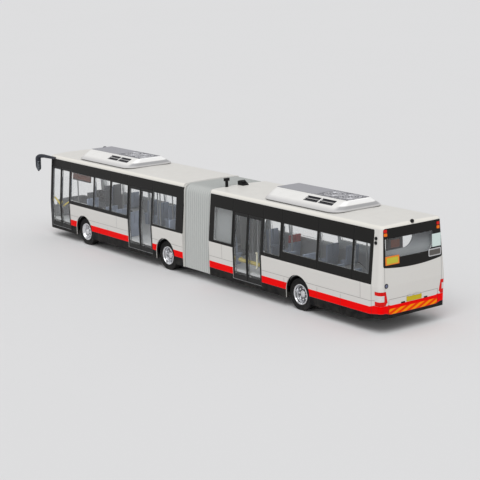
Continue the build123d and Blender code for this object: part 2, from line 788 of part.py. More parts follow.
def shoulder_level(y):
    """Level of a pod's sloping shoulder at y."""
    (z0, y0, _, _), (z1, y1, _, _) = pod_levels[4:6]
    return z0 + (z1 - z0) * (y0 - y) / (y0 - y1)


def pod_plate(start_x):
    """Top plate of a pod, with slots over the fans at its rear half."""
    left = start_x + pod_length / 2 - pod_plate_length / 2
    with BuildPart() as plate:
        with BuildSketch(Plane.XY.offset(pod_top_z - pod_plate_t / 2)):
            with Locations((left, 0)):
                Rectangle(pod_plate_length, pod_plate_width, align=(Align.MIN, Align.CENTER))
            with Locations((left + 9.8, 0)):
                with GridLocations(1.4, 0, 12, 1):
                    Rectangle(0.7, pod_plate_width - 2.0, mode=Mode.SUBTRACT)
        extrude(amount=pod_plate_t)
    return plate.part


pod_top_z, pod_top_half_width, pod_top_inset, _ = pod_levels[-1]
pod_plate_length = pod_length - 2 * pod_top_inset - 0.6
pod_plate_width = 2 * pod_top_half_width - 0.8
front_pod_x = front_end_x + front_pod_lead
rear_pod_x = tail_x + rear_pod_lead

with BuildPart() as front_pod:
    add(roof_pod(front_pod_x, front_volume))
front_pod.part.label = "front_pod"

with BuildPart() as front_pod_plate:
    add(pod_plate(front_pod_x))
front_pod_plate.part.label = "front_pod_plate"

with BuildPart() as rear_pod:
    add(roof_pod(rear_pod_x, rear_volume))
rear_pod.part.label = "rear_pod"

with BuildPart() as rear_pod_plate:
    add(pod_plate(rear_pod_x))
rear_pod_plate.part.label = "rear_pod_plate"


# ---------------------------------------------------------------- wheelsets
def ring(profile, axle_x):
    """Profile of (y, r) points, turned about an axle."""
    with BuildPart() as turned:
        with BuildSketch(Plane.YZ.offset(axle_x)):
            with BuildLine():
                Polyline(*[(y, axle_z + r) for y, r in profile], close=True)
            make_face()
        revolve(axis=Axis((axle_x, 0, axle_z), (0, 1, 0)))
    return turned.part


def tyre_profile(y0, y1):
    """Plain section of a tyre from y0 to y1."""
    return [(y0, tyre_bead_r), (y0, tyre_r), (y1, tyre_r), (y1, tyre_bead_r)]


def rim_profile(side, face, depth, disc, hub):
    """Wheel from its outer flange: barrel, a disc set in by disc, and a hub."""
    bore = axle_r + 0.02
    inner = tyre_bead_r - fit_gap
    points = [
        (0.35, inner), (0.35, inner - rim_t), (disc, inner - rim_t - 0.3), (disc, 1.7), (disc - hub, 1.45),
        (disc - hub, bore), (disc + 1.2, bore), (disc + 1.2, 1.9), (disc + 0.6, 2.2),
        (disc + 0.6, inner - rim_t - 0.3), (depth, inner - rim_t), (depth, inner),
    ]
    return [(side * (face - y), r) for y, r in points]


wheelsets = [            # name, axle position, twin tyres, depth of the disc, height of the hub
    ("front", front_axle_x, False, 1.0, 0.8),
    ("middle", middle_axle_x, True, 2.2, 1.0),
    ("rear", rear_axle_x, True, 2.2, 1.0),
]

wheel_parts = []
for name, axle_x, twin, disc, hub in wheelsets:
    width = 2 * tyre_w + twin_gap if twin else tyre_w
    with BuildPart() as axle:
        with BuildSketch(Plane.XZ.offset(wheel_face_y - disc)):
            with Locations((axle_x, axle_z)):
                Circle(axle_r)
        extrude(amount=-2 * (wheel_face_y - disc))
    axle.part.label = name + "_axle"
    with BuildPart() as rims:
        for side in (1, -1):
            add(ring(rim_profile(side, wheel_face_y, width - 0.35, disc, hub), axle_x))
        with BuildSketch(Plane.XZ.offset(-(wheel_face_y - disc + 1))):
            with Locations((axle_x, axle_z)):
                with PolarLocations(hand_hole_ring, hand_holes):
                    Circle(hand_hole_r)
        extrude(amount=2 * (wheel_face_y - disc + 1), mode=Mode.SUBTRACT)
    rims.part.label = name + "_rims"
    with BuildPart() as tyres:
        for side in (1, -1):
            add(ring(tyre_profile(side * wheel_face_y, side * (wheel_face_y - tyre_w)), axle_x))
            if twin:
                inner_face = side * (wheel_face_y - tyre_w - twin_gap)
                add(ring(tyre_profile(inner_face, side * (wheel_face_y - width)), axle_x))
    tyres.part.label = name + "_tyres"
    wheel_parts += [axle.part, rims.part, tyres.part]

# ---------------------------------------------------------------- seats
seat_w = 6.0             # a pair of seats across
seat_depth = 3.9
cushion_h = 5.2          # top of a cushion above the floor
box_cushion_h = 1.6      # top of a cushion above a wheel box
back_h = 6.4             # backrest above its cushion
back_t = 0.9
seat_wall_gap = 0.4
floor_top = floor_z + floor_t
liner = wall + fit_gap + glazing_t
box_top = axle_z + tyre_r + box_gap + box_t


def seat_pair(x, side, faces, on_box):
    """Moulded pair of seats on a plinth, with a notch between the two backrests."""
    low = box_top + 0.02 if on_box else floor_top
    cushion = low + (box_cushion_h if on_box else cushion_h)
    top = cushion + back_h
    wall_y = half_width - liner - slope_high * (top - waist_z) - seat_wall_gap
    back = x - faces * seat_depth / 2
    front = x + faces * seat_depth / 2
    with BuildPart() as seat:
        with BuildSketch(Plane.XZ.offset(-max(side * wall_y, side * (wall_y - seat_w)))):
            with BuildLine():
                Polyline(
                    (back + faces * 0.9, low), (front - faces * 1.2, low), (front - faces * 0.7, cushion - 0.9),
                    (front, cushion - 0.7), (front, cushion), (back + faces * back_t, cushion - 0.25),
                    (back + faces * (back_t - 0.5), top), (back - faces * 0.5, top), (back, cushion - 0.9),
                    close=True,
                )
            make_face()
        extrude(amount=seat_w)
        with BuildSketch(Plane.XZ.offset(-side * (wall_y - seat_w / 2) - 0.2)):
            with Locations((back, cushion + 1.2)):
                Rectangle(4, 12, align=(Align.CENTER, Align.MIN))
        extrude(amount=0.4, mode=Mode.SUBTRACT)
    return seat.part


front_seats_at = [       # set-back from the bellows end, side, way it faces, on a wheel box
    (13.4, 1, 1, True), (13.4, -1, 1, True), (24.0, -1, 1, False), (31.5, -1, 1, False), (46.5, 1, 1, False),
    (46.5, -1, 1, False), (55.5, 1, 1, False), (55.5, -1, 1, False), (64.5, 1, 1, False), (64.5, -1, 1, False),
    (81.25, 1, 1, True), (81.25, -1, 1, True),
]
rear_seats_at = [        # distance from the tail, side, way it faces, on a wheel box
    (11.0, 1, 1, False), (11.0, -1, 1, False), (20.5, 1, 1, False), (20.5, -1, 1, False), (30.0, 1, 1, False),
    (30.0, -1, 1, False), (46.5, 1, 1, True), (46.5, -1, 1, True), (58.5, 1, 1, False), (58.5, -1, 1, False),
    (93.0, 1, -1, False), (93.0, -1, -1, False), (82.0, -1, 1, False),
]

with BuildPart() as front_seats:
    for lead, side, faces, on_box in front_seats_at:
        add(seat_pair(front_end_x + lead, side, faces, on_box))
front_seats.part.label = "front_seats"

with BuildPart() as rear_seats:
    for lead, side, faces, on_box in rear_seats_at:
        add(seat_pair(tail_x + lead, side, faces, on_box))
rear_seats.part.label = "rear_seats"

# ---------------------------------------------------------------- handrails
rail_r = 0.3
pole_y = 3.6
ceiling_z = crown_z - wall - 0.15
front_poles_at = [       # distance from the bellows end, y
    (24.0, pole_y), (46.5, -pole_y), (28.0, pole_y + 4), (37.0, pole_y + 4), (64.5, pole_y), (88.5, pole_y),
    (97.0, pole_y + 5),
]
rear_poles_at = [        # distance from the tail, y
    (20.5, pole_y), (64.0, pole_y), (73.0, pole_y + 4), (81.5, pole_y + 4), (90.0, pole_y), (90.0, -pole_y),
]


def poles(start_x, places):
    """Upright grab poles from the floor to the ceiling."""
    with BuildPart() as uprights:
        with BuildSketch(Plane.XY.offset(floor_top)):
            with Locations(*[(start_x + lead, y) for lead, y in places]):
                Circle(rail_r)
        extrude(amount=ceiling_z - floor_top)
    return uprights.part


with BuildPart() as front_handrails:
    add(poles(front_end_x, front_poles_at))
front_handrails.part.label = "front_handrails"

with BuildPart() as rear_handrails:
    add(poles(tail_x, rear_poles_at))
rear_handrails.part.label = "rear_handrails"

# ---------------------------------------------------------------- driver's place
cab_length = 17.0
cab_width = 9.5
cab_wall_h = 15.0
dash_depth = 5.0
dash_h = 9.5
cab_side_y = half_width - liner - slope_high * (floor_top + cab_wall_h - waist_z) - seat_wall_gap
cab_front_x = nose_x - front_bow - wall - 1.4

with BuildPart() as driver_cab:
    with BuildSketch(Plane.XZ.offset(cab_side_y)):
        with BuildLine():
            Polyline(
                (cab_front_x - dash_depth, floor_top), (cab_front_x, floor_top), (cab_front_x, floor_top + dash_h),
                (cab_front_x - 2.2, floor_top + dash_h), (cab_front_x - dash_depth, floor_top + dash_h - 3.0),
                close=True,
            )
        make_face()
    extrude(amount=-cab_width)
    with BuildSketch(Plane.XY.offset(floor_top)):
        with Locations((cab_front_x - cab_length, -cab_side_y)):
            Rectangle(0.7, cab_width, align=(Align.MIN, Align.MIN))
    extrude(amount=cab_wall_h)
    with BuildSketch(Plane.XY.offset(floor_top)):
        with Locations((cab_front_x - cab_length, -cab_side_y + cab_width)):
            Rectangle(cab_length, 0.7, align=(Align.MIN, Align.MAX))
    extrude(amount=6.5)
driver_cab.part.label = "driver_cab"

wheel_centre = Plane(
    origin=(cab_front_x - dash_depth - 0.6, -cab_side_y + cab_width / 2, floor_top + dash_h - 0.6),
    z_dir=(-0.55, 0, 0.835),
)
with BuildPart() as steering_wheel:
    with BuildSketch(wheel_centre):
        Circle(2.9)
        Circle(2.4, mode=Mode.SUBTRACT)
        Rectangle(5.0, 0.5)
        Circle(0.8)
    extrude(amount=0.45)
    with BuildSketch(wheel_centre):
        Circle(0.45)
    extrude(amount=-1.3)
steering_wheel.part.label = "steering_wheel"

# ---------------------------------------------------------------- destination displays
display_t = 0.8
display_gap = 0.1
nose_display = (-10.5, 10.5, 33.4, 36.7)
tail_display = (4.0, 11.6, 29.6, 34.3)
bay_4 = front_openings["bay_4"]
side_display = (bay_4[1] - 15.6, bay_4[1] - 0.4, bay_4[3] - 3.6, bay_4[3] - 0.2)
near_glass = liner + display_gap

with BuildPart() as front_displays:
    nose_box = end_prism([nose_display], nose_x + 1, nose_reach - 3)
    add(wall_layer(front_volume, nose_box, near_glass, near_glass + display_t))
    side_box = side_prism([side_display], 1, reach=side_reach + display_gap + display_t)
    add(wall_layer(front_volume, side_box, near_glass, near_glass + display_t))
front_displays.part.label = "front_displays"

with BuildPart() as rear_display:
    tail_box = end_prism([tail_display], tail_x - 1, tail_reach + 3)
    add(wall_layer(rear_volume, tail_box, near_glass, near_glass + display_t))
rear_display.part.label = "rear_display"

# ---------------------------------------------------------------- mirrors, plate, aerials
mirror_y = half_width + 2.45
mirror_top_z = 36.8
mirror_h = 6.1
mirror_w = 2.9
mirror_t = 1.9
mirror_x = nose_x + mirror_lead - mirror_t / 2
arm_r = 0.6
arm_foot_back = 6.6
arm_foot_z = 37.8
arm_foot_y = half_width - slope_high * (arm_foot_z - waist_z) + arm_r + fit_gap

with BuildPart() as mirrors:
    for side in (1, -1):
        with BuildLine() as arm:
            FilletPolyline(
                (nose_x - arm_foot_back, side * arm_foot_y, arm_foot_z),
                (mirror_x - 1.8, side * (mirror_y - 1.0), mirror_top_z + 1.7),
                (mirror_x, side * mirror_y, mirror_top_z + 1.2),
                (mirror_x, side * mirror_y, mirror_top_z - 0.5),
                radius=0.8,
            )
        with BuildSketch(Plane(origin=arm.line @ 0, z_dir=arm.line % 0)):
            Circle(arm_r)
        sweep(path=arm.line)
        with BuildPart(mode=Mode.PRIVATE) as head:
            with BuildSketch(Plane.XY.offset(mirror_top_z - mirror_h)):
                with Locations((mirror_x, side * mirror_y)):
                    RectangleRounded(mirror_t, mirror_w, 0.9)
            extrude(amount=mirror_h)
            fillet(head.edges().group_by(Axis.Z)[0] + head.edges().group_by(Axis.Z)[-1], radius=0.7)
        add(head.part)
mirrors.part.label = "mirrors"

plate_half = 3.75
plate_z = (10.0, 11.8)
plate_t = 0.25
with BuildPart() as number_plate:
    plate = end_prism([(-plate_half, plate_half, *plate_z)], tail_x - 1, tail_reach)
    add(wall_layer(rear_volume, plate, -plate_t, -0.02))
number_plate.part.label = "number_plate"

aerial_back = 0.9        # from the bellows end of the rear section
aerial_x = rear_end_x - aerial_back
aerial_top_z = 43.2
with BuildPart() as roof_aerials:
    with BuildSketch(Plane.XY.offset(crown_z - 0.6)):
        with Locations((aerial_x, 7.35)):
            Circle(0.65)
    extrude(amount=aerial_top_z - crown_z + 0.6)
    with BuildSketch(Plane.XY.offset(aerial_top_z - 1.2)):
        with Locations((aerial_x, 7.35)):
            SlotOverall(2.8, 1.4, rotation=90)
    extrude(amount=1.2)
    with BuildSketch(Plane.XZ.offset(-1.2)):
        with BuildLine():
            Polyline(
                (aerial_x - 3.2, crown_z - 0.6), (aerial_x + 0.5, crown_z - 0.6), (aerial_x + 0.5, crown_z + 1.6),
                (aerial_x - 0.5, crown_z + 2.0), (aerial_x - 3.2, crown_z + 0.4), close=True,
            )
        make_face()
    extrude(amount=3.0)
    add(rear_volume(-fit_gap), mode=Mode.SUBTRACT)
roof_aerials.part.label = "roof_aerials"

# ---------------------------------------------------------------- output
pieces = [
    front_shell.part, front_window_bands.part, front_glazing.part, windscreen.part, headlamps.part,
    front_doors.part, front_door_glass.part, front_chassis.part, front_floor.part, front_seats.part,
    front_handrails.part, driver_cab.part, steering_wheel.part, front_displays.part, mirrors.part,
    front_pod.part, front_pod_plate.part, pivot_pin.part, turntable.part, bellows.part,
    rear_shell.part, rear_window_bands.part, rear_glazing.part, tail_panel.part, tail_glass.part,
    rear_doors.part, rear_door_glass.part, rear_chassis.part, rear_floor.part, rear_seats.part,
    rear_handrails.part, rear_display.part, rear_pod.part, rear_pod_plate.part, tail_lamps.part,
    number_plate.part, roof_aerials.part, *wheel_parts,
]
for piece in pieces:
    lifted = piece.moved(Location((0, 0, ride_lift)))
    lifted.label = piece.label
    export_step(lifted, "parts/" + piece.label + ".step")
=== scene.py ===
"""Finishes and fine details of an articulated bus model, laid on its packed frame."""

import functools
import json
import math

import bpy
import numpy as np
from mathutils import Matrix, Vector


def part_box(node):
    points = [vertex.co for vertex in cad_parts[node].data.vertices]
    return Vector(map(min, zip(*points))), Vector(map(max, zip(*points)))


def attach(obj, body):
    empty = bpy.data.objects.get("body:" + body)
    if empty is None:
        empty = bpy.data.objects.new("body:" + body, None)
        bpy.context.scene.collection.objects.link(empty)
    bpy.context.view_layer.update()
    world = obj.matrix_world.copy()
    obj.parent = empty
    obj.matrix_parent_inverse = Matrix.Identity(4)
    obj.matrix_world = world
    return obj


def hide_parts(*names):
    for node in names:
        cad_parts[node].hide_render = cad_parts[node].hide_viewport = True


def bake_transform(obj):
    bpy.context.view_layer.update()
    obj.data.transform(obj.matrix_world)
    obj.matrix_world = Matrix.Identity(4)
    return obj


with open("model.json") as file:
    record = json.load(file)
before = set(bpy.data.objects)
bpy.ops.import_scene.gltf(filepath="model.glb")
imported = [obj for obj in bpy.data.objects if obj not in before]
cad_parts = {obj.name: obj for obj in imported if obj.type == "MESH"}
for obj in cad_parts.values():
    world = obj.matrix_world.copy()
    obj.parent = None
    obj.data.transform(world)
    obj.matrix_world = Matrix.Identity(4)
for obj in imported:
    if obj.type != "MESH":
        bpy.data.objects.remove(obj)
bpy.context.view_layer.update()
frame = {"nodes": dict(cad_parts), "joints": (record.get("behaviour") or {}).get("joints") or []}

bl_info = {
    "name": "Articulated bus finish",
    "version": (1, 0, 0),
    "blender": (4, 5, 0),
    "location": "View3D > Sidebar > Bus",
    "description": "Paint, glass, bellows, wheels, lamps, roof pods and saloon of an articulated bus model",
    "category": "Object",
}

MM = 0.001               # lengths below are millimetres of the model, and meshes are made in metres
seam_gap = 2e-6          # metres: points nearer than this are merged
sharp_angle = 35         # degrees: edges that turn by more stay sharp


# ---------------------------------------------------------------- stations
def extent(node):
    """Lowest and highest corner of a node, in millimetres."""
    low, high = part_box(node)
    return np.array(low) / MM, np.array(high) / MM


tail_x, rear_end_x = (corner[0] for corner in extent("rear_shell"))
front_end_x, nose_x = (corner[0] for corner in extent("front_shell"))
axle_x = {
    joint["child"].split("_")[0]: joint["pos_m"][0] / MM
    for joint in frame["joints"] if joint["child"].endswith("wheelset")
}
ride_lift = 0.9          # levels below are counted from the body's datum, this high over the ground
axle_z = 5.4

half_width = 16.78       # of the body at the waist, its widest level
skirt_z = 3.15
skirt_inset = 0.38
waist_z = 16.9
eaves_z = 38.9
eaves_inset = 1.79
crown_z = 39.5
band_top_z = 37.6
slope_low = skirt_inset / (waist_z - skirt_z)
slope_high = eaves_inset / (eaves_z - waist_z)
tail_low = (skirt_z - 3, 0.2)        # level, and how far the tail has gone forward there
tail_high = (crown_z + 1, 1.0)
tail_bow = 0.3

front_bays = [           # name, post before the bay, width, sill, top
    ("bay_1", 4.95, 17.60, 18.4, 32.7), ("middle_door", 0.55, 19.50, 4.6, 32.9),
    ("bay_2", 0.55, 13.20, 19.1, 32.9), ("bay_3", 1.55, 13.20, 19.2, 33.0),
    ("bay_4", 1.15, 20.50, 19.1, 32.9), ("entrance_door", 0.65, 17.40, 4.6, 34.0),
]
rear_bays = [
    ("bay_5", 6.80, 8.10, 21.1, 32.3), ("bay_6", 1.15, 18.30, 21.1, 32.3),
    ("bay_7", 1.35, 19.70, 21.1, 32.3), ("bay_8", 1.90, 10.10, 18.9, 32.3),
    ("rear_door", 1.10, 18.85, 4.6, 32.2), ("bay_9", 0.75, 12.10, 18.6, 32.4),
]


def bay_openings(bays, start_x):
    """Each bay's (x0, x1, z0, z1) by name, walked along the body from start_x."""
    widths = np.array([[post, width] for _, post, width, _, _ in bays])
    ends = start_x + np.cumsum(widths.sum(1))
    return {name: (end - width, end, sill, top) for (name, _, width, sill, top), end in zip(bays, ends)}


front_openings = bay_openings(front_bays, front_end_x)
rear_openings = bay_openings(rear_bays, tail_x)
middle_door = front_openings["middle_door"]
entrance_door = front_openings["entrance_door"]
rear_door = rear_openings["rear_door"]
front_windows = [front_openings[name] for name in ("bay_1", "bay_2", "bay_3", "bay_4")]
rear_windows = [rear_openings[name] for name in ("bay_5", "bay_6", "bay_7", "bay_8", "bay_9")]
front_windows_right = front_windows + [
    (middle_door[0], middle_door[1] - 0.9, 19.7, 32.6),
    (entrance_door[0], entrance_door[1] - 3.0, 17.9, 34.0),
]
rear_windows_right = rear_windows + [(rear_door[0] + 0.4, rear_door[1] - 0.4, 19.0, 32.4)]


def side_y(z):
    """Half width of the body's outer face at height z: it leans in above and below the waist."""
    z = np.asarray(z, float)
    return half_width - np.where(z < waist_z, slope_low * (waist_z - z), slope_high * (z - waist_z))


def tail_face(y, z):
    """x of the tail: it goes forward linearly in z above and below the waist, and with the square of y."""
    z = np.asarray(z, float)
    lower = tail_low[1] * (waist_z - z) / (waist_z - tail_low[0])
    upper = tail_high[1] * (z - waist_z) / (tail_high[0] - waist_z)
    bow = tail_bow * (np.asarray(y, float) / half_width) ** 2
    return tail_x + (np.where(z < waist_z, lower, upper) + bow)


# ---------------------------------------------------------------- mesh forms
def grid_faces(rows, columns, close_rows=False, close_columns=False):
    """Quads of a grid whose point (i, j) is i * columns + j. A closed direction joins its last line
    to its first."""
    i, j = np.meshgrid(
        np.arange(rows if close_rows else rows - 1), np.arange(columns if close_columns else columns - 1),
        indexing="ij",
    )
    below = (i + 1) % rows
    beside = (j + 1) % columns
    corners = [i * columns + j, i * columns + beside, below * columns + beside, below * columns + j]
    return np.stack(corners, -1).reshape(-1, 4)


def capped_rings(points, rings, size):
    """Rings of one size joined in a row, with a face over the first and the last."""
    start = np.arange(size)
    faces = grid_faces(rings, size, False, True).tolist()
    return points, faces + [start[::-1].tolist(), (start + len(points) - size).tolist()]


def along(path):
    """Unit directions along a path."""
    tangent = np.gradient(path, axis=0)
    return tangent / np.linalg.norm(tangent, axis=1)[:, None]


def sweep(path, section, across, lift, closed=False):
    """A closed section carried along a path: its point (a, b) goes to path + a * across + b * lift.
    across and lift are one direction, or one for each path point. Open ends are capped."""
    path = np.asarray(path, float)
    section = np.asarray(section, float)
    across = np.broadcast_to(np.asarray(across, float), path.shape)
    lift = np.broadcast_to(np.asarray(lift, float), path.shape)
    points = (
        path[:, None] + section[None, :, :1] * across[:, None] + section[None, :, 1:] * lift[:, None]
    ).reshape(-1, 3)
    if closed:
        return points, grid_faces(len(path), len(section), True, True).tolist()
    return capped_rings(points, len(path), len(section))


def turned(profile, centre, steps, closed=True, upright=False):
    """A profile of (level, r) points turned about the line through centre along Y, where x = cx + r sin a and
    z = cz + r cos a, or upright, where x = cx + r cos a and y = cy + r sin a. An open profile starts and ends
    on the line."""
    level, radius = np.asarray(profile, float).T
    angle = np.linspace(0, 2 * math.pi, steps, endpoint=False)[:, None]
    sine, cosine = radius * np.sin(angle), radius * np.cos(angle)
    level = np.broadcast_to(level, sine.shape)
    form = np.stack((cosine, sine, level) if upright else (sine, level, cosine), -1)
    points = np.asarray(centre, float) + form.reshape(-1, 3)
    return points, grid_faces(steps, len(profile), True, closed).tolist()


def rounded_block(centre, size, softness):
    """Superellipsoid with half sizes h: x = hx c(v) c(u), y = hy c(v) s(u), z = hz s(v), where c and s are
    cosine and sine raised to softness with their sign kept. A low softness gives a block with eased edges."""
    steps = 20
    u = np.linspace(-math.pi, math.pi, 2 * steps, endpoint=False)[:, None]
    v = np.linspace(-math.pi / 2, math.pi / 2, steps)[None, :]

    def eased(value):
        return np.sign(value) * np.abs(value) ** softness

    axes = np.broadcast_arrays(
        eased(np.cos(v)) * eased(np.cos(u)), eased(np.cos(v)) * eased(np.sin(u)), eased(np.sin(v)),
    )
    form = np.stack(axes, -1).reshape(-1, 3) * np.asarray(size) / 2
    return form + np.asarray(centre, float), grid_faces(2 * steps, steps, True, False).tolist()


def rounded_loop(x0, x1, z0, z1, radius, steps=6):
    """Closed outline of a rounded rectangle and its outward normals: four quarter circles about the
    corners' centres."""
    quarter = np.linspace(0, math.pi / 2, steps)
    angles = (quarter[None, :] + np.arange(4)[:, None] * math.pi / 2).reshape(-1)
    low_x, high_x, low_z, high_z = x0 + radius, x1 - radius, z0 + radius, z1 - radius
    centres = np.array([(high_x, high_z), (low_x, high_z), (low_x, low_z), (high_x, low_z)]).repeat(steps, 0)
    normals = np.stack([np.cos(angles), np.sin(angles)], -1)
    return centres + radius * normals, normals


def round_section(radius, steps=8):
    angle = np.linspace(0, 2 * math.pi, steps, endpoint=False)
    return np.stack([np.cos(angle), np.sin(angle)], -1) * radius


def bar_section(width, height):
    """Cross-section of a flat bar with eased corners, from b = 0 up to its height."""
    return rounded_loop(-width / 2, width / 2, 0, height, min(width, height) * 0.2, 3)[0]


def tube(path, radius):
    """Round tube along a path with direction t: across is t x z, or t x a slant where the path stands up,
    and lift is across x t."""
    tangent = along(path)
    upright = np.abs(tangent[:, 2]).max() >= 0.95
    across = np.cross(tangent, (0.31, 0.95, 0.05) if upright else (0.0, 0.0, 1.0))
    across /= np.linalg.norm(across, axis=1)[:, None]
    return sweep(path, round_section(radius, 10), across, np.cross(across, tangent))


def smooth_path(points, radius, steps=6):
    """Path through points with each inner corner rounded by a quadratic curve that starts radius before it:
    p(t) = (1 - t)^2 a + 2 t (1 - t) corner + t^2 b."""
    points = np.asarray(points, float)
    before = points[:-2] - points[1:-1]
    after = points[2:] - points[1:-1]
    a = points[1:-1] + radius * before / np.linalg.norm(before, axis=1)[:, None]
    b = points[1:-1] + radius * after / np.linalg.norm(after, axis=1)[:, None]
    t = np.linspace(0, 1, steps)[None, :, None]
    curves = (1 - t) ** 2 * a[:, None] + 2 * t * (1 - t) * points[1:-1, None] + t ** 2 * b[:, None]
    return np.concatenate([points[:1], curves.reshape(-1, 3), points[-1:]])


def on_side(path, side, lift):
    """Carries (x, z) points onto a side wall, lift outside its face, and gives its outward directions."""
    x, z = np.asarray(path, float).T
    lean = np.where(z < waist_z, -slope_low, slope_high)
    outward = np.stack([np.zeros_like(z), side / np.hypot(1, lean), lean / np.hypot(1, lean)], -1)
    return np.stack([x, side * side_y(z), z], -1) + lift * outward, outward


def side_bead(outline, side, width, height, lift):
    """Bead along a closed (x, z) outline on a side wall."""
    loop, normals = outline
    place, outward = on_side(loop, side, lift)
    across = np.stack([normals[:, 0], np.zeros(len(loop)), normals[:, 1]], -1)
    return sweep(place, bar_section(width, height), across, outward, closed=True)


def tail_patch(y0, y1, z0, z1, radius, height, lift):
    """Rounded plate on the tail: its outline grows from its middle over the back and shrinks to it over the
    front. Each point lies at tail_face(y, z) - lift, and on the front at tail_face(y, z) - lift - height."""
    rings = 6
    loop, _ = rounded_loop(y0, y1, z0, z1, radius)
    middle = np.array([(y0 + y1) / 2, (z0 + z1) / 2])
    share = np.concatenate([np.linspace(0.02, 1, rings), np.linspace(1, 0.02, rings)])
    depth = np.concatenate([np.full(rings, lift), np.full(rings, lift + height)])
    flat = middle + (loop - middle)[None] * share[:, None, None]
    x = tail_face(flat[..., 0], flat[..., 1]) - depth[:, None]
    points = np.stack([x, flat[..., 0], flat[..., 1]], -1).reshape(-1, 3)
    return capped_rings(points, len(share), len(loop))


def joined(parts):
    """Several (points, faces) pairs as one."""
    offsets = np.cumsum([0] + [len(points) for points, _ in parts])
    faces = [[corner + offset for corner in face] for (_, fs), offset in zip(parts, offsets) for face in fs]
    return np.concatenate([points for points, _ in parts]), faces


def add_piece(name, parts, material, body, slot):
    """Makes one object from (points, faces) pairs in millimetres, closes its seams and poles, and turns its
    faces outwards. The bellows, which lie between the two bodies, ride on none."""
    points, faces = joined(list(parts))
    mesh = bpy.data.meshes.new(name)
    mesh.from_pydata(((points + (0, 0, ride_lift)) * MM).tolist(), [], faces)
    mesh.materials.append(material)
    obj = bpy.data.objects.new(name, mesh)
    bpy.context.scene.collection.objects.link(obj)
    bpy.ops.object.select_all(action="DESELECT")
    bpy.context.view_layer.objects.active = obj
    obj.select_set(True)
    bpy.ops.object.mode_set(mode="EDIT")
    bpy.ops.mesh.select_all(action="SELECT")
    bpy.ops.mesh.remove_doubles(threshold=seam_gap)
    bpy.ops.mesh.normals_make_consistent(inside=False)
    bpy.ops.object.mode_set(mode="OBJECT")
    bpy.ops.object.shade_smooth_by_angle(angle=math.radians(sharp_angle))
    obj.select_set(False)
    if body:
        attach(obj, body)
    return obj


# ---------------------------------------------------------------- shader parts
def srgb(red, green, blue):
    """Scene-linear colour of an sRGB one given in 0 to 255."""
    return tuple(
        c / 255 / 12.92 if c <= 10 else ((c / 255 + 0.055) / 1.055) ** 2.4 for c in (red, green, blue)
    )


class Value:
    """Output of a shader node. Each operator on it adds one Math node. A comparison gives 0 or 1."""

    def __init__(self, node, output=0):
        self.tree = node.id_data
        self.socket = node.outputs[output]

    def __add__(self, other):
        return calc("ADD", self, other)

    def __sub__(self, other):
        return calc("SUBTRACT", self, other)

    def __rsub__(self, other):
        return calc("SUBTRACT", other, self)

    def __mul__(self, other):
        return calc("MULTIPLY", self, other)

    def __truediv__(self, other):
        return calc("DIVIDE", self, other)

    def __pow__(self, other):
        return calc("POWER", self, other)

    def __gt__(self, other):
        return calc("GREATER_THAN", self, other)

    def __lt__(self, other):
        return calc("LESS_THAN", self, other)

    def __abs__(self):
        return calc("ABSOLUTE", self)


def tree_of(*values):
    """Node tree of the first value that has one."""
    return next(value.tree for value in values if isinstance(value, Value))


def feed(socket, value):
    """Links a socket, or sets a number or a colour."""
    if isinstance(value, Value):
        value.tree.links.new(value.socket, socket)
    elif socket.type == "RGBA" and len(value) == 3:
        socket.default_value = (*value, 1.0)
    else:
        socket.default_value = value


def put(tree, kind, values=(), **settings):
    """Adds a node with its settings, and feeds the inputs named or numbered in values."""
    node = tree.nodes.new(kind)
    for name, value in settings.items():
        setattr(node, name, value)
    for name, value in dict(values).items():
        feed(node.inputs[name], value)
    return node


def calc(operation, *values, clamp=False):
    """Output of a Math node."""
    settings = {"operation": operation, "use_clamp": clamp}
    return Value(put(tree_of(*values), "ShaderNodeMath", enumerate(values), **settings))


def scaled(vector, factor):
    """A direction or a colour times a number."""
    names = {0: vector, "Scale": factor}
    return Value(put(tree_of(vector, factor), "ShaderNodeVectorMath", names, operation="SCALE"))


def mixed(factor, first, second):
    """Colour between two others."""
    return Value(put(factor.tree, "ShaderNodeMix", {0: factor, 6: first, 7: second}, data_type="RGBA"), 2)


def ramp(value, low, high, to_low=0.0, to_high=1.0):
    """A value carried from one range onto another, with its ends held."""
    return Value(put(value.tree, "ShaderNodeMapRange", enumerate((value, low, high, to_low, to_high))))


def noise(place, scale, detail, roughness=0.5):
    names = {"Vector": place, "Scale": scale, "Detail": detail, "Roughness": roughness}
    return Value(put(place.tree, "ShaderNodeTexNoise", names))


def most(*values):
    """Largest of several masks."""
    return functools.reduce(functools.partial(calc, "MAXIMUM"), values)


def sine(value, rate):
    return calc("SINE", value * rate)


def distance(across, above):
    return calc("SQRT", across ** 2 + above ** 2)


def shader_group(name, inputs, outputs):
    """Makes a node group, at its first use, from a function that gives a value for each output. inputs maps
    labels to defaults. Place is a direction, and the rest are numbers."""
    def kind(label):
        return "NodeSocketVector" if label == "Place" else "NodeSocketFloat"

    def decorate(fill):
        def make():
            group = bpy.data.node_groups.new(name, "ShaderNodeTree")
            for label, default in inputs.items():
                socket = group.interface.new_socket(label, in_out="INPUT", socket_type=kind(label))
                if default is not None:
                    socket.default_value = default
            for label in outputs:
                group.interface.new_socket(label, in_out="OUTPUT", socket_type=kind(label))
            entry = group.nodes.new("NodeGroupInput")
            leave = group.nodes.new("NodeGroupOutput")
            results = fill(group, *[Value(entry, number) for number in range(len(inputs))])
            for socket, value in zip(leave.inputs, results):
                feed(socket, value)
            return group

        def place(tree, *values):
            node = tree.nodes.new("ShaderNodeGroup")
            node.node_tree = bpy.data.node_groups.get(name) or make()
            for socket, value in zip(node.inputs, values):
                feed(socket, value)
            return [Value(node, number) for number in range(len(outputs))]
        return place
    return decorate


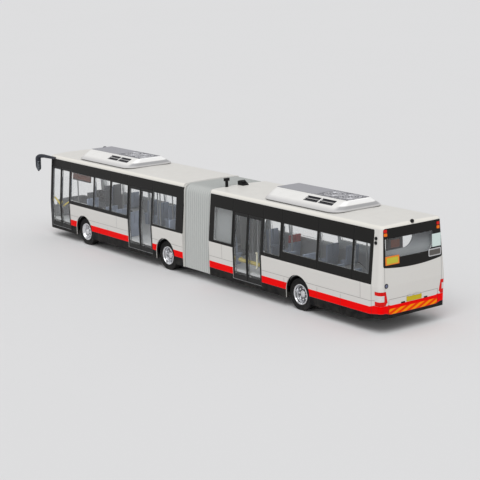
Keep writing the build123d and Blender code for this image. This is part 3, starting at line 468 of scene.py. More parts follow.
@shader_group("model_place", {}, ["Place", "X", "Y", "Z", "Facing X", "Facing Y", "Facing Z"])
def model_place(tree):
    """Millimetre coordinates on the model, and which way the surface faces."""
    source = put(tree, "ShaderNodeTexCoord")
    names = {0: scaled(Value(source, "Object"), 1 / MM), 1: (0.0, 0.0, ride_lift)}
    lowered = Value(put(tree, "ShaderNodeVectorMath", names, operation="SUBTRACT"))
    axes = put(tree, "ShaderNodeSeparateXYZ", {0: lowered})
    facing = put(tree, "ShaderNodeSeparateXYZ", {0: Value(source, "Normal")})
    return [lowered] + [Value(node, number) for node in (axes, facing) for number in range(3)]


@shader_group("thin_line", {"Coordinate": 0.0, "At": 0.0, "Half width": 0.15}, ["Line"])
def thin_line(tree, coordinate, at, half):
    """1 on a thin line where a coordinate is near a value, and 0 elsewhere."""
    return [calc("SUBTRACT", 1.0, abs(coordinate - at) / half, clamp=True)]


@shader_group("soft_span", {"Coordinate": 0.0, "Low": 0.0, "High": 1.0, "Softness": 0.06}, ["Span"])
def soft_span(tree, coordinate, low, high, soft):
    """1 between two values of a coordinate, with a soft edge."""
    rise = calc("ADD", (coordinate - low) / soft, 0.5, clamp=True)
    fall = calc("ADD", (high - coordinate) / soft, 0.5, clamp=True)
    return [rise * fall]


@shader_group("fine_grain", {"Place": None, "Scale": 6.0, "Contrast": 0.2}, ["Tone", "Height"])
def fine_grain(tree, place, scale, contrast):
    """Fine grain of a moulded or cast surface: two sizes of noise as a tone and as a height."""
    fine = noise(place, scale, 2.0)
    coarse = noise(place, scale * 0.12, 3.0)
    height = calc("MULTIPLY_ADD", coarse, 0.6, fine * 0.4)
    return [calc("MULTIPLY_ADD", height - 0.5, contrast, 1.0), height]


@shader_group("faint_dust", {"Place": None, "Z": 0.0, "Facing Z": 0.0, "Amount": 0.3}, ["Dust"])
def faint_dust(tree, place, height, up, amount):
    """Faint dust: more on faces that look up and low on the model, broken up by noise."""
    patches = ramp(noise(place, 0.25, 5.0, 0.6), 0.4, 0.75)
    where = most(ramp(height, 10.0, 2.0), ramp(up, 0.3, 1.0) * 0.6)
    return [patches * where * amount]


def line(coordinate, at, half):
    return thin_line(coordinate.tree, coordinate, at, half)[0]


def span(coordinate, low, high, soft=0.06):
    return soft_span(coordinate.tree, coordinate, low, high, soft)[0]


class Finish:
    """A material with one Principled shader, its points' place and facing, and grain if that has a scale."""

    inputs = {
        "colour": "Base Color", "rough": "Roughness", "metallic": "Metallic", "normal": "Normal",
        "specular": "Specular IOR Level", "coat": "Coat Weight", "coat_rough": "Coat Roughness",
        "sheen": "Sheen Weight", "bend": "IOR", "clear": "Transmission Weight", "glow": "Emission Color",
        "glow_strength": "Emission Strength",
    }
    dust_colour = srgb(168, 162, 152)
    grain_range = (0.3, 0.7)     # of the grain's height, over which the roughness follows it

    def __init__(self, name, scale=None, contrast=0.0, **constants):
        self.material = bpy.data.materials.new(name)
        self.material.use_nodes = True
        self.tree = self.material.node_tree
        self.shader = self.tree.nodes["Principled BSDF"]
        self.place, self.x, self.y, self.z, *facing = model_place(self.tree)
        self.facing_x, self.facing_y, self.facing_z = facing
        if scale:
            self.tone, self.grain = fine_grain(self.tree, self.place, scale, contrast)
        self.set(**constants)

    def set(self, **values):
        """Feeds the shader's sockets, by the names in inputs."""
        for name, value in values.items():
            feed(self.shader.inputs[self.inputs[name]], value)

    def toned(self, colour):
        """A colour times the grain's tone."""
        return scaled(colour, self.tone)

    def dust(self, amount):
        return faint_dust(self.tree, self.place, self.z, self.facing_z, amount)[0]

    def done(self, colour, rough, height=None, depth=0.0):
        """Sets the colour, the roughness and a bump from a height of 0 to 1 that is depth millimetres deep,
        and gives the material. A pair of roughnesses is the range that the grain moves it in."""
        if isinstance(rough, tuple):
            rough = ramp(self.grain, *self.grain_range, *rough)
        self.set(colour=colour, rough=rough)
        if height:
            names = {"Height": height, "Distance": depth * MM, "Strength": 1.0}
            self.set(normal=Value(put(self.tree, "ShaderNodeBump", names)))
        return self.material


def grained_finish(name, colour, scale, contrast, depth, rough, dust=0.0, **constants):
    """A moulded or painted finish: one colour with grain in its tone, roughness and height, and dust."""
    finish = Finish(name, scale, contrast, **constants)
    shade = finish.toned(colour)
    if dust:
        shade = mixed(finish.dust(dust), shade, finish.dust_colour)
    return finish.done(shade, (max(rough - 0.08, 0.02), min(rough + 0.08, 1)), finish.grain, depth)


def near_wheels(finish, level, reach):
    """Mask of places nearer than reach to an axle at that level, or under such a place."""
    above = calc("MAXIMUM", finish.z - level, 0.0)
    return most(*[distance(abs(finish.x - centre), above) < reach for centre in axle_x.values()])


def give(node_names, material):
    """Puts a finish on CAD nodes."""
    for name in node_names:
        for place in frame["nodes"][name].material_slots:
            place.material = material


# ---------------------------------------------------------------- user's values
def length(default, name, description):
    """A size in the sidebar, held in metres and given here in millimetres."""
    return bpy.props.FloatProperty(
        name=name, description=description, default=default * MM, unit="LENGTH", subtype="DISTANCE",
        precision=5,
    )


def colour(default, name, description):
    return bpy.props.FloatVectorProperty(
        name=name, description=description, default=srgb(*default), subtype="COLOR", size=3, min=0, max=1,
    )


class BusLivery(bpy.types.PropertyGroup):
    """Paint of the body and where its stripes lie."""

    white: colour((219, 217, 213), "White", "Main colour of the body")
    red: colour((248, 0, 2), "Red", "Colour of the stripe along the body")
    black: colour((24, 24, 25), "Skirt black", "Colour of the skirt under the stripe")
    band: colour((28, 27, 26), "Band black", "Colour of the band round the windows")
    yellow: colour((255, 152, 0), "Marking yellow", "Light colour of the slanted marks at the tail")
    orange: colour((244, 62, 4), "Marking orange", "Dark colour of the slanted marks at the tail")
    stripe_low: length(6.95, "Stripe's lower edge", "Height of the stripe's lower edge at the nose")
    stripe_high: length(9.75, "Stripe's upper edge", "Height of the stripe's upper edge at the nose")
    stripe_fall: length(0.55, "Stripe's fall", "How much lower the stripe lies on the rear section")
    panel_seam: length(11.95, "Panel seam", "Height of the seam along the side panels")


class BusBellows(bpy.types.PropertyGroup):
    """Pleated hood between the two sections."""

    rubber: colour((200, 202, 200), "Fabric", "Colour of the pleated fabric")
    frame: colour((205, 204, 200), "Frame", "Colour of the hoops at the bellows' ends")
    pleats: bpy.props.IntProperty(name="Pleats", description="Number of pleats", default=13, min=4, max=40)
    depth: length(0.8, "Pleat depth", "From a pleat's crest to its valley")
    sheet: length(0.42, "Sheet", "Thickness of the pleated sheet")


class BusGlass(bpy.types.PropertyGroup):
    """Windows and lamps."""

    tint: colour((252, 253, 253), "Glass tint", "Tint of the windows")
    trim: colour((120, 122, 122), "Trim", "Colour of the thin frames round the windows")
    amber: colour((112, 56, 32), "Display amber", "Colour of the lit dots in the displays")


class BusWheels(bpy.types.PropertyGroup):
    """Wheels and tyres."""

    chrome: colour((226, 227, 230), "Chrome", "Colour of the wheel discs")
    rubber: colour((22, 22, 23), "Tyre rubber", "Colour of the tyres")
    nuts: bpy.props.IntProperty(name="Nuts", description="Wheel nuts on each disc", default=8, min=4, max=16)


class BusSaloon(bpy.types.PropertyGroup):
    """Seats, rails and floor."""

    seat: colour((150, 162, 184), "Seat", "Colour of the moulded seats")
    seat_second: colour((178, 52, 48), "Priority seat", "Colour of the seats near the doors")
    floor: colour((206, 207, 208), "Floor", "Colour of the saloon floor")
    lining: colour((226, 227, 228), "Lining", "Colour of the saloon's walls and ceiling")
    rail: colour((214, 190, 56), "Door rail", "Colour of the low rails at the doors")
    pole: colour((150, 152, 154), "Pole", "Colour of the grab poles")


class BusStage(bpy.types.PropertyGroup):
    """Floor, lamps and camera."""

    floor: colour((221, 221, 222), "Floor", "Colour of the floor")
    sky: bpy.props.FloatProperty(
        name="Sky", description="Strength of the light all round", default=0.62, min=0,
    )
    key: bpy.props.FloatProperty(
        name="Key lamp", description="Strength of the large soft lamp", default=1.45, min=0,
    )
    lens: bpy.props.FloatProperty(
        name="Lens", description="Focal length", default=100.2, unit="CAMERA", min=10,
    )


settings_groups = {
    "bus_livery": BusLivery, "bus_bellows": BusBellows, "bus_glass": BusGlass, "bus_wheels": BusWheels,
    "bus_saloon": BusSaloon, "bus_stage": BusStage,
}


# ---------------------------------------------------------------- stage
class BUS_OT_stage(bpy.types.Operator):
    """Lay the floor, hang the lamps and set the camera"""

    bl_idname = "bus.stage"
    bl_label = "Stage"

    camera_place = (-456.335, 338.68, 138.58)
    camera_angles = (232.378, 12.4277, -1.0281)      # azimuth, elevation and roll, in degrees
    floor_half = 4000.0
    floor_points = 9
    key_direction = (-0.42, 0.50, 1.0)
    key_spread = 42.0        # degrees across the lamp, for soft shadows

    def execute(self, context):
        scene, values = context.scene, context.scene.bus_stage
        self.lay_floor(scene, values)
        self.light_world(scene, values)
        self.hang_lamp(scene, values)
        self.set_camera(scene, values)
        scene.view_settings.view_transform = "Standard"
        return {"FINISHED"}

    def lay_floor(self, scene, values):
        """Flat sheet: a grid of points over both directions at height 0."""
        reach = np.linspace(-self.floor_half, self.floor_half, self.floor_points)
        x, y = np.meshgrid(reach, reach, indexing="ij")
        points = np.stack([x, y, np.zeros_like(x)], -1).reshape(-1, 3) * MM
        faces = grid_faces(self.floor_points, self.floor_points)[:, ::-1]
        finish = Finish("stage_floor", 0.02, 0.02, specular=0.0)
        mesh = bpy.data.meshes.new("stage_floor")
        mesh.from_pydata(points.tolist(), [], faces.tolist())
        mesh.materials.append(finish.done(finish.toned(values.floor), 0.9))
        floor = bpy.data.objects.new("stage_floor", mesh)
        scene.collection.objects.link(floor)

    def light_world(self, scene, values):
        world = bpy.data.worlds.new("stage_world")
        world.use_nodes = True
        background = world.node_tree.nodes["Background"]
        background.inputs["Color"].default_value = (1, 1, 1, 1)
        background.inputs["Strength"].default_value = values.sky
        scene.world = world

    def hang_lamp(self, scene, values):
        lamp = bpy.data.lights.new("stage_key", "SUN")
        lamp.angle = math.radians(self.key_spread)
        lamp.energy = values.key
        holder = bpy.data.objects.new("stage_key", lamp)
        holder.rotation_euler = Vector(self.key_direction).to_track_quat("Z", "Y").to_euler()
        scene.collection.objects.link(holder)

    def set_camera(self, scene, values):
        """Looks along -back; right is level, then both turn by the roll."""
        azimuth, elevation, roll = map(math.radians, self.camera_angles)
        flat = math.cos(elevation)
        back = Vector((flat * math.sin(azimuth), -flat * math.cos(azimuth), math.sin(elevation)))
        level = (-back).cross(Vector((0, 0, 1))).normalized()
        up = level.cross(-back)
        right = math.cos(roll) * level + math.sin(roll) * up
        up = math.cos(roll) * up - math.sin(roll) * level
        camera = bpy.data.cameras.new("stage_camera")
        camera.sensor_width = 36.0
        camera.lens = values.lens
        camera.clip_start = 0.01
        holder = bpy.data.objects.new("stage_camera", camera)
        turn = Matrix((right, up, back)).transposed().to_4x4()
        holder.matrix_world = Matrix.Translation(Vector(self.camera_place) * MM) @ turn
        scene.collection.objects.link(holder)
        scene.camera = holder


# ---------------------------------------------------------------- body paint
class BUS_OT_body_paint(bpy.types.Operator):
    """Paint the two body shells: white over a red stripe and a black skirt, with panel seams"""

    bl_idname = "bus.body_paint"
    bl_label = "Body paint"

    arch_reach = 7.3         # the arches' faces in painted shade are nearer than this to the axles, at arch_z
    arch_z = 6.35
    seam_half = 0.13
    side_seams = [           # x, lower end, upper end
        (-85.6, 2.4, 10.8), (-98.8, 2.4, 10.8), (-109.65, 11.4, 17.5), (-115.5, 2.4, 36.5),
        (-66.0, 2.4, 10.8), (62.0, 2.4, 10.8), (70.5, 2.4, 10.8), (54.0, 11.9, 17.5),
        (-26.0, 11.4, 17.5), (95.1, 4.0, 17.4),
    ]
    fall_x = (45.0, -25.0)   # the stripe falls between these
    corner_x = (tail_x + 6, tail_x + 2)      # and rises again round the tail's corners, by corner_rise
    corner_y = (11.5, 14.0)
    corner_rise = 0.7
    tail_widening = 0.6      # how much taller the stripe is at the tail
    mark_pitch = 4.9         # of the slanted marks at the tail
    mark_slant = 2.4
    mark_half = 12.2
    mark_z = (6.5, 8.5)

    def execute(self, context):
        livery = context.scene.bus_livery
        finish = Finish("body_paint", 1.2, 0.03, specular=0.05)
        outer = self.outer_mask(finish)
        corner = ramp(finish.x, *self.corner_x) * ramp(abs(finish.y), *self.corner_y)
        fall = ramp(finish.x, *self.fall_x, 0.0, livery.stripe_fall / MM) - corner * self.corner_rise
        level = finish.z + fall
        low = livery.stripe_low / MM
        high = ramp(finish.x, *self.corner_x, 0.0, self.tail_widening) + livery.stripe_high / MM
        stripe = span(level, low, high) * outer
        skirt = span(level, -5.0, low) * outer
        seams = self.seams(finish, livery, level)
        lining = mixed(ramp(finish.z, 17.0, 19.0), srgb(160, 162, 166), context.scene.bus_saloon.lining)
        shade = mixed(stripe, finish.toned(livery.white), livery.red)
        shade = mixed(skirt, shade, livery.black)
        shade = self.tail_marks(finish, shade, livery)
        shade = mixed(seams * 0.55, shade, (0.03, 0.03, 0.03))
        shade = mixed(self.inside_mask(finish), shade, lining)
        # Painted shade: near-black on the wheel arches' inner faces.
        shade = mixed(self.arch_shade_mask(finish, outer), shade, srgb(20, 20, 22))
        shade = mixed(self.post_mask(finish), shade, livery.band)
        # Painted highlight: a pale strip along the rounded edge between the sides and the roof.
        shade = mixed(self.edge_highlight_mask(finish), shade, srgb(231, 228, 221))
        shade = mixed(finish.dust(0.12) * (1.0 - stripe), shade, srgb(160, 155, 146))
        material = finish.done(shade, (0.30, 0.40), finish.grain * 0.12 - seams, 0.12)
        give(["front_shell", "rear_shell"], material)
        return {"FINISHED"}

    def outer_mask(self, finish):
        """Faces that look out of the body: its sides, and its nose and tail."""
        side = finish.facing_y * calc("SIGN", finish.y) > 0.45
        tail = (finish.facing_x < -0.4) * (finish.x < tail_x + 3)
        nose = (finish.facing_x > 0.4) * (finish.x > nose_x - 4)
        return most(side, tail, nose)

    def inside_mask(self, finish):
        """Faces that look into the saloon."""
        inward = finish.facing_y * calc("SIGN", finish.y) < -0.4
        ceiling = (finish.facing_z < -0.5) * (finish.z > 35.0)
        tail = (finish.facing_x > 0.4) * (finish.x < tail_x + 4)
        nose = (finish.facing_x < -0.4) * (finish.x > nose_x - 5)
        return most(inward, ceiling, tail, nose)

    def arch_shade_mask(self, finish, outer):
        """Painted shade on the wheel arches' inner faces: near a wheel and behind the side's face."""
        depth = half_width - (waist_z - finish.z) * slope_low - abs(finish.y)
        return near_wheels(finish, self.arch_z, self.arch_reach) * (depth > 0.35) * (1.0 - outer)

    def post_mask(self, finish):
        """The dark post in front of the entrance door."""
        at_nose = (finish.x > entrance_door[1] - 0.2) * (finish.y > 0.0)
        return at_nose * (finish.facing_y > 0.3) * (finish.z < band_top_z)

    def edge_highlight_mask(self, finish):
        """Painted highlight on the rounded edge between the sides and the roof."""
        z, up = finish.z, finish.facing_z
        return ramp(z, 37.6, 38.2) * ramp(up, 0.97, 0.85) * ramp(up, 0.0, 0.2)

    def seams(self, finish, livery, level):
        """Thin grooves between the panels: one along each side, uprights by it, and the tail's door."""
        z, aside = finish.z, abs(finish.y)
        uprights = [
            line(finish.x, at, self.seam_half) * span(z, low, high) for at, low, high in self.side_seams
        ]
        along_side = line(level, livery.panel_seam / MM, self.seam_half)
        sides = most(along_side, *uprights) * (abs(finish.facing_y) > 0.7)
        flap = most(
            line(z, 12.05, 0.14) * span(finish.y, -12.5, 12.5),
            line(aside, 12.5, 0.16) * span(z, 4.0, 12.1),
            line(aside, 14.5, self.seam_half) * span(z, 15.0, 24.0),
        )
        return most(sides, flap * (finish.facing_x < -0.6))

    def tail_marks(self, finish, shade, livery):
        """Slanted light and dark marks in the stripe's lower part at the tail."""
        slant = calc("MULTIPLY_ADD", finish.z, self.mark_slant, finish.y)
        marks = mixed(calc("FRACT", slant / self.mark_pitch) > 0.5, livery.yellow, livery.orange)
        panel = span(finish.z, *self.mark_z) * span(finish.y, -self.mark_half, self.mark_half)
        return mixed(panel * (finish.facing_x < -0.5) * (finish.x < tail_x + 3), shade, marks)


# ---------------------------------------------------------------- window bands
class BUS_OT_window_bands(bpy.types.Operator):
    """Finish the gloss black bands and the tail panel, with a groove at each window post"""

    bl_idname = "bus.window_bands"
    bl_label = "Window bands"

    groove_half = 0.42
    trim_inset = 0.08        # of the frames' line from each window's edge, and their depth in the wall
    trim_corner = 0.35
    trim_width = 0.14

    def execute(self, context):
        livery = context.scene.bus_livery
        finish = Finish("band_black", 1.5, 0.12, specular=0.13)
        posts = [
            (before[1] + after[0]) / 2
            for bays in (list(front_openings.values()), list(rear_openings.values()))
            for before, after in zip(bays, bays[1:])
        ]
        lines = most(*[line(finish.x, post, self.groove_half) for post in posts])
        grooves = lines * (abs(finish.facing_y) > 0.7)
        shade = mixed(grooves, finish.toned(livery.band), (0.006, 0.006, 0.006))
        material = finish.done(shade, (0.16, 0.26), finish.grain * 0.15 - grooves, 0.03)
        give(["front_window_bands", "rear_window_bands", "tail_panel"], material)
        self.window_trims(context.scene.bus_glass)
        return {"FINISHED"}

    def window_trims(self, glass):
        """Thin frames round the side windows: a bar carried along each window's rounded outline."""
        material = grained_finish("window_trim", glass.trim, 8.0, 0.1, 0.02, 0.3, metallic=0.6)
        inset = self.trim_inset
        for body, left, right in (
            ("front_section", front_windows, front_windows_right),
            ("rear_section", rear_windows, rear_windows_right),
        ):
            beads = [
                side_bead(
                    rounded_loop(x0 + inset, x1 - inset, z0 + inset, z1 - inset, self.trim_corner),
                    side, self.trim_width, inset, -inset,
                )
                for side, windows in ((1, left), (-1, right)) for x0, x1, z0, z1 in windows
            ]
            add_piece(body + "_window_trims", beads, material, body, "band_black")


# ---------------------------------------------------------------- glazing
class BUS_OT_glazing(bpy.types.Operator):
    """Finish the windows, the door glass and the windscreen"""

    bl_idname = "bus.glazing"
    bl_label = "Glazing"

    nodes = [
        "front_glazing", "rear_glazing", "windscreen", "tail_glass", "front_door_glass", "rear_door_glass",
    ]

    def execute(self, context):
        give(self.nodes, self.clear_finish(context.scene.bus_glass.tint))
        return {"FINISHED"}

    def clear_finish(self, tint):
        """Clear moulded glass that lets lamp light through."""
        finish = Finish("clear_glazing", 0.9, 0.05, clear=1.0, bend=1.45, specular=0.5)
        tree = finish.tree
        material = finish.done(finish.toned(tint), (0.015, 0.03))
        rays = put(tree, "ShaderNodeLightPath")
        passing = most(Value(rays, "Is Shadow Ray"), Value(rays, "Is Diffuse Ray"))
        open_shader = Value(put(tree, "ShaderNodeBsdfTransparent", {"Color": tint}))
        both = put(tree, "ShaderNodeMixShader", enumerate((passing, Value(finish.shader), open_shader)))
        feed(tree.nodes["Material Output"].inputs["Surface"], Value(both))
        return material


# ---------------------------------------------------------------- doors
class BUS_OT_doors(bpy.types.Operator):
    """Finish the door frames and add their sills, inner rails and handle"""

    bl_idname = "bus.doors"
    bl_label = "Doors"

    def execute(self, context):
        saloon = context.scene.bus_saloon
        give(
            ["front_doors", "rear_doors"],
            grained_finish("door_black", srgb(34, 34, 34), 7.0, 0.15, 0.02, 0.38, specular=0.2),
        )
        sill = grained_finish("door_sill", srgb(150, 151, 153), 9.0, 0.15, 0.03, 0.3, metallic=0.8)
        rail = grained_finish("rail_yellow", saloon.rail, 8.0, 0.08, 0.02, 0.35)
        pole = grained_finish("pole_grey", saloon.pole, 8.0, 0.08, 0.02, 0.35)
        dull = grained_finish("rail_dull_yellow", srgb(176, 160, 84), 8.0, 0.08, 0.02, 0.5)
        handle = grained_finish("handle_pale", srgb(226, 222, 196), 8.0, 0.05, 0.02, 0.35)
        give(["front_handrails", "rear_handrails"], pole)
        for body, doors in (("front_section", [middle_door, entrance_door]), ("rear_section", [rear_door])):
            add_piece(body + "_door_sills", [self.sill(door) for door in doors], sill, body, "pin_steel")
        add_piece("entrance_door_rail", [self.entrance_rail()], rail, "front_section", "rail_yellow")
        add_piece("rear_door_rail", [self.rear_rail()], dull, "rear_section", "rail_yellow")
        add_piece("rear_door_handle", [self.handle()], handle, "rear_section", "rail_yellow")
        return {"FINISHED"}

    def sill(self, door):
        """Bar along the foot of a door opening."""
        x0, x1, z0, _ = door
        place, outward = on_side(np.linspace((x0 + 0.3, z0 + 0.1), (x1 - 0.3, z0 + 0.1), 8), 1, -0.15)
        return sweep(place, bar_section(0.2, 0.18), (0, 0, 1), outward)

    def entrance_rail(self):
        """V of yellow rail behind the entrance door's leaves, from post to post."""
        x0, x1, _, _ = entrance_door
        low = (x0 + 9.9, side_y(14.0) - 2.0, 14.4)
        path = [(x1 - 0.6, side_y(18.4) - 2.0, 18.2), low, (x0 + 0.8, side_y(19.0) - 2.0, 19.0)]
        return tube(smooth_path(path, 1.2), 0.4)

    def rear_rail(self):
        """Level yellow rail behind the rear door's leaves, bent inwards at its ends."""
        back, ahead = rear_door[0] + 1.6, rear_door[1] - 1.6
        depth, level = side_y(12.0) - 2.6, 12.4
        inner = depth - 1.2
        path = [(back, inner, level), (back, depth, level), (ahead, depth, level), (ahead, inner, level)]
        return tube(smooth_path(path, 0.9), 0.8)

    def handle(self):
        """Upright grip inside the rear door's rear leaf, with bent ends."""
        x, depth = rear_door[0] + 4.4, side_y(13.0) - 1.7
        foot, top = 11.2, 17.4
        path = [(x, depth + 0.5, foot), (x, depth, foot), (x, depth, top), (x, depth + 0.5, top)]
        return tube(smooth_path(path, 0.3), 0.35)


# ---------------------------------------------------------------- bellows
class BUS_OT_bellows(bpy.types.Operator):
    """Make the pleated bellows and the hoops at its ends"""

    bl_idname = "bus.bellows"
    bl_label = "Bellows"

    foot_z = 3.1
    crest_z = 38.1
    side_gap = 1.25      # the crests lie this far inside the body's sides
    end_gap = 0.05       # and the fabric ends this far from each section
    shoulder = 2.6
    hoop_width = 0.9
    hoop_height = 0.5
    hoop_inset = 0.1     # of the hoops' middle lines from the sections' ends
    hoop_sink = 0.1      # of the hoops' inner faces from the body's sides

    def hoop_path(self, outset):
        """Line of a rib up one side, over the roof and down the other, and its outward directions."""
        foot_y = half_width - skirt_inset - self.side_gap + outset
        top_y = half_width - eaves_inset - self.side_gap + outset
        top_z = self.crest_z + outset
        corners = [(0, foot_y, self.foot_z), (0, top_y, top_z), (0, -top_y, top_z), (0, -foot_y, self.foot_z)]
        path = smooth_path(corners, self.shoulder + outset, 12)
        return path, np.cross(along(path), (-1, 0, 0))

    def pleat_section(self, values):
        """Closed zigzag in (x, depth): depth = -d (1 - |sin|^0.7) over each pleat, and back a sheet lower."""
        share = np.linspace(0, 1, 10 * values.pleats + 1)
        swell = np.abs(np.sin(share * values.pleats * math.pi)) ** 0.7
        x = rear_end_x + self.end_gap + share * (front_end_x - rear_end_x - 2 * self.end_gap)
        outer = np.stack([x, values.depth / MM * (swell - 1)], -1)
        return np.concatenate([outer, outer[::-1] - (0, values.sheet / MM)])

    def fabric(self, values):
        """Woven rubber with fine threads across it, and painted shade that darkens the valleys between the
        crests.
        """
        finish = Finish("bellows_rubber", 3.0, 0.10, sheen=0.15, specular=0.3)
        pitch = (front_end_x - rear_end_x - 2 * self.end_gap) / values.pleats
        swell = abs(sine(finish.x - (rear_end_x + self.end_gap), math.pi / pitch)) ** 0.5
        # Painted shade: the valleys between the crests are greyer than the crests.
        shade = mixed(ramp(swell, 0.0, 0.75), srgb(170, 173, 172), finish.toned(values.rubber))
        height = calc("MULTIPLY_ADD", sine(finish.z, 26.0), 0.25, finish.grain)
        return finish.done(shade, (0.6, 0.8), height, 0.03)

    def execute(self, context):
        values = context.scene.bus_bellows
        path, outward = self.hoop_path(0.0)
        body = sweep(path, self.pleat_section(values), (1, 0, 0), outward)
        bellows = add_piece("bellows_fabric", [body], self.fabric(values), None, "bellows_rubber")
        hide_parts("bellows")
        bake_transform(bellows)
        frame_finish = grained_finish("bellows_frame", values.frame, 6.0, 0.06, 0.02, 0.4)
        path, outward = self.hoop_path(self.side_gap - self.hoop_sink)
        section = bar_section(self.hoop_width, self.hoop_height)
        for owner, at in (
            ("front_section", front_end_x - self.hoop_inset), ("rear_section", rear_end_x + self.hoop_inset),
        ):
            hoop = sweep(path + (at, 0, 0), section, (1, 0, 0), outward)
            add_piece(owner + "_hoop", [hoop], frame_finish, owner, "bellows_rubber")
        return {"FINISHED"}


# ---------------------------------------------------------------- wheels
class BUS_OT_wheels(bpy.types.Operator):
    """Finish rims, axles and tyres, and add wheel nuts, hub caps, flanges and beads"""

    bl_idname = "bus.wheels"
    bl_label = "Wheels"

    face_y = 14.95       # of the outer tyres' outer faces
    nut_ring = 2.25      # radius that the nuts stand on
    nut_r = 0.46
    cap_r = 1.25
    inner_y = 12.0       # the rims are dark inboard of this
    wheels = [           # name, depth of disc, height of hub, strength of the painted shade between the spokes
        ("front", 1.0, 0.8, 0.45), ("middle", 2.2, 1.0, 0.75), ("rear", 2.2, 1.0, 1.0),
    ]
    bead = [             # of the tyres, as outset and radius
        (-0.6, 4.02), (0.04, 4.06), (0.16, 4.2), (0.2, 4.5), (0.12, 4.75), (-0.6, 4.75),
    ]
    tyre_lines = [(4.6, 0.08), (5.2, 0.1), (5.55, 0.08)]     # radius, half width
    tread_r = 5.75

    def execute(self, context):
        values = context.scene.bus_wheels
        steel = grained_finish("pin_steel", srgb(120, 121, 124), 6.0, 0.25, 0.03, 0.35, metallic=0.9)
        give([wheel[0] + "_axle" for wheel in self.wheels] + ["pivot_pin", "turntable"], steel)
        bright = grained_finish("nut_chrome", values.chrome, 6.0, 0.1, 0.02, 0.25, metallic=0.85)
        for name, disc, hub, darkness in self.wheels:
            give([name + "_rims"], self.chrome(values, name, darkness))
            rubber = self.rubber(values, name)
            give([name + "_tyres"], rubber)
            for label, parts, material, slot in (
                ("_wheel_nuts", self.nuts(values, name, disc, hub), bright, "rim_chrome"),
                ("_hub_caps", self.caps(name, disc, hub), bright, "rim_chrome"),
                ("_rim_flanges", self.rings(self.flange(disc), name), bright, "rim_chrome"),
                ("_tyre_beads", self.rings(self.bead, name), rubber, "tyre_rubber"),
            ):
                add_piece(name + label, parts, material, name + "_wheelset", slot)
        return {"FINISHED"}

    def nuts(self, values, name, disc, hub):
        """Capped nuts in a ring round each hub, as tall as the hub."""
        for side in (1, -1):
            shoulder, top = side * (hub - 0.14), side * hub
            profile = [(0, 0), (0, self.nut_r), (shoulder, 0.42), (top, 0.28), (top, 0)]
            for angle in np.linspace(0, 2 * math.pi, values.nuts, endpoint=False):
                x = axle_x[name] + self.nut_ring * math.sin(angle)
                z = axle_z + self.nut_ring * math.cos(angle)
                yield turned(profile, (x, side * (self.face_y - disc), z), 12, closed=False)

    def rings(self, profile, name):
        """Profile of outsets and radii, turned about both ends of an axle."""
        for side in (1, -1):
            centre = (axle_x[name], side * self.face_y, axle_z)
            yield turned([(side * out, radius) for out, radius in profile], centre, 64)

    def flange(self, disc):
        """Dished inside of a rim, from its disc out to a rolled edge, as outsets and radii."""
        edge = [(-0.05, 3.6), (0.1, 3.7), (0.12, 3.95), (0.02, 4.08), (-0.5, 4.08)]
        return [(-disc, 2.9), *edge, (-disc, 3.5)]

    def caps(self, name, disc, hub):
        """Domed cap on each hub: r = 1.25 cos t, height = 0.35 sin t."""
        t = np.linspace(0, math.pi / 2, 8)
        for side in (1, -1):
            dome = np.stack([side * 0.35 * np.sin(t), self.cap_r * np.cos(t)], -1)
            profile = np.concatenate([[(side * -0.1, 0), (side * -0.1, self.cap_r)], dome])
            centre = (axle_x[name], side * (self.face_y - disc + hub), axle_z)
            yield turned(profile, centre, 32, closed=False)

    def polar(self, finish, name):
        """Radius and angle about an axle."""
        across, above = finish.x - axle_x[name], finish.z - axle_z
        return distance(across, above), calc("ARCTAN2", across, above)

    def chrome(self, values, name, darkness):
        """Chromed wheel, by radius and angle: a bright lip, spokes with shaded hollows between, and a hub."""
        finish = Finish(name + "_rim_chrome", 4.0, 0.12, coat=0.1)
        radius, angle = self.polar(finish, name)
        spokes = ramp(calc("COSINE", angle * values.nuts), 0.0, 0.3) * ramp(radius, 2.8, 2.6)
        hollows = span(radius, 1.35, 3.7, 0.15) * calc("MULTIPLY_ADD", spokes, -0.7, 1.0)
        dark = most(hollows * darkness, abs(finish.y) < self.inner_y)
        finish.set(metallic=ramp(dark, 0, 1, 0.75, 0.2))
        shade = mixed(dark * 0.95, finish.toned(values.chrome), srgb(24, 24, 27))
        height = calc("MULTIPLY_ADD", sine(radius, 2 * math.pi / 0.24), 0.06, finish.grain)
        return finish.done(shade, ramp(dark, 0, 1, 0.24, 0.5), height, 0.03)

    def rubber(self, values, name):
        """Tyre rubber: grooves round the tread by y, blocks by angle, and rings on the wall by radius."""
        finish = Finish(name + "_tyre_rubber", 5.0, 0.25, specular=0.3)
        radius, angle = self.polar(finish, name)
        grooves = sine(finish.y, 2 * math.pi / 0.72) > 0.55
        blocks = sine(angle, 44) > 0.8
        tread_cut = most(grooves, blocks) * (radius > self.tread_r)
        rings = most(*[line(radius, at, half) for at, half in self.tyre_lines])
        shade = mixed(finish.dust(0.15), finish.toned(values.rubber), srgb(120, 114, 106))
        shade = mixed(tread_cut * 0.7, shade, (0.004, 0.004, 0.004))
        return finish.done(shade, (0.6, 0.78), finish.grain * 0.2 - tread_cut + rings * 0.5, 0.2)


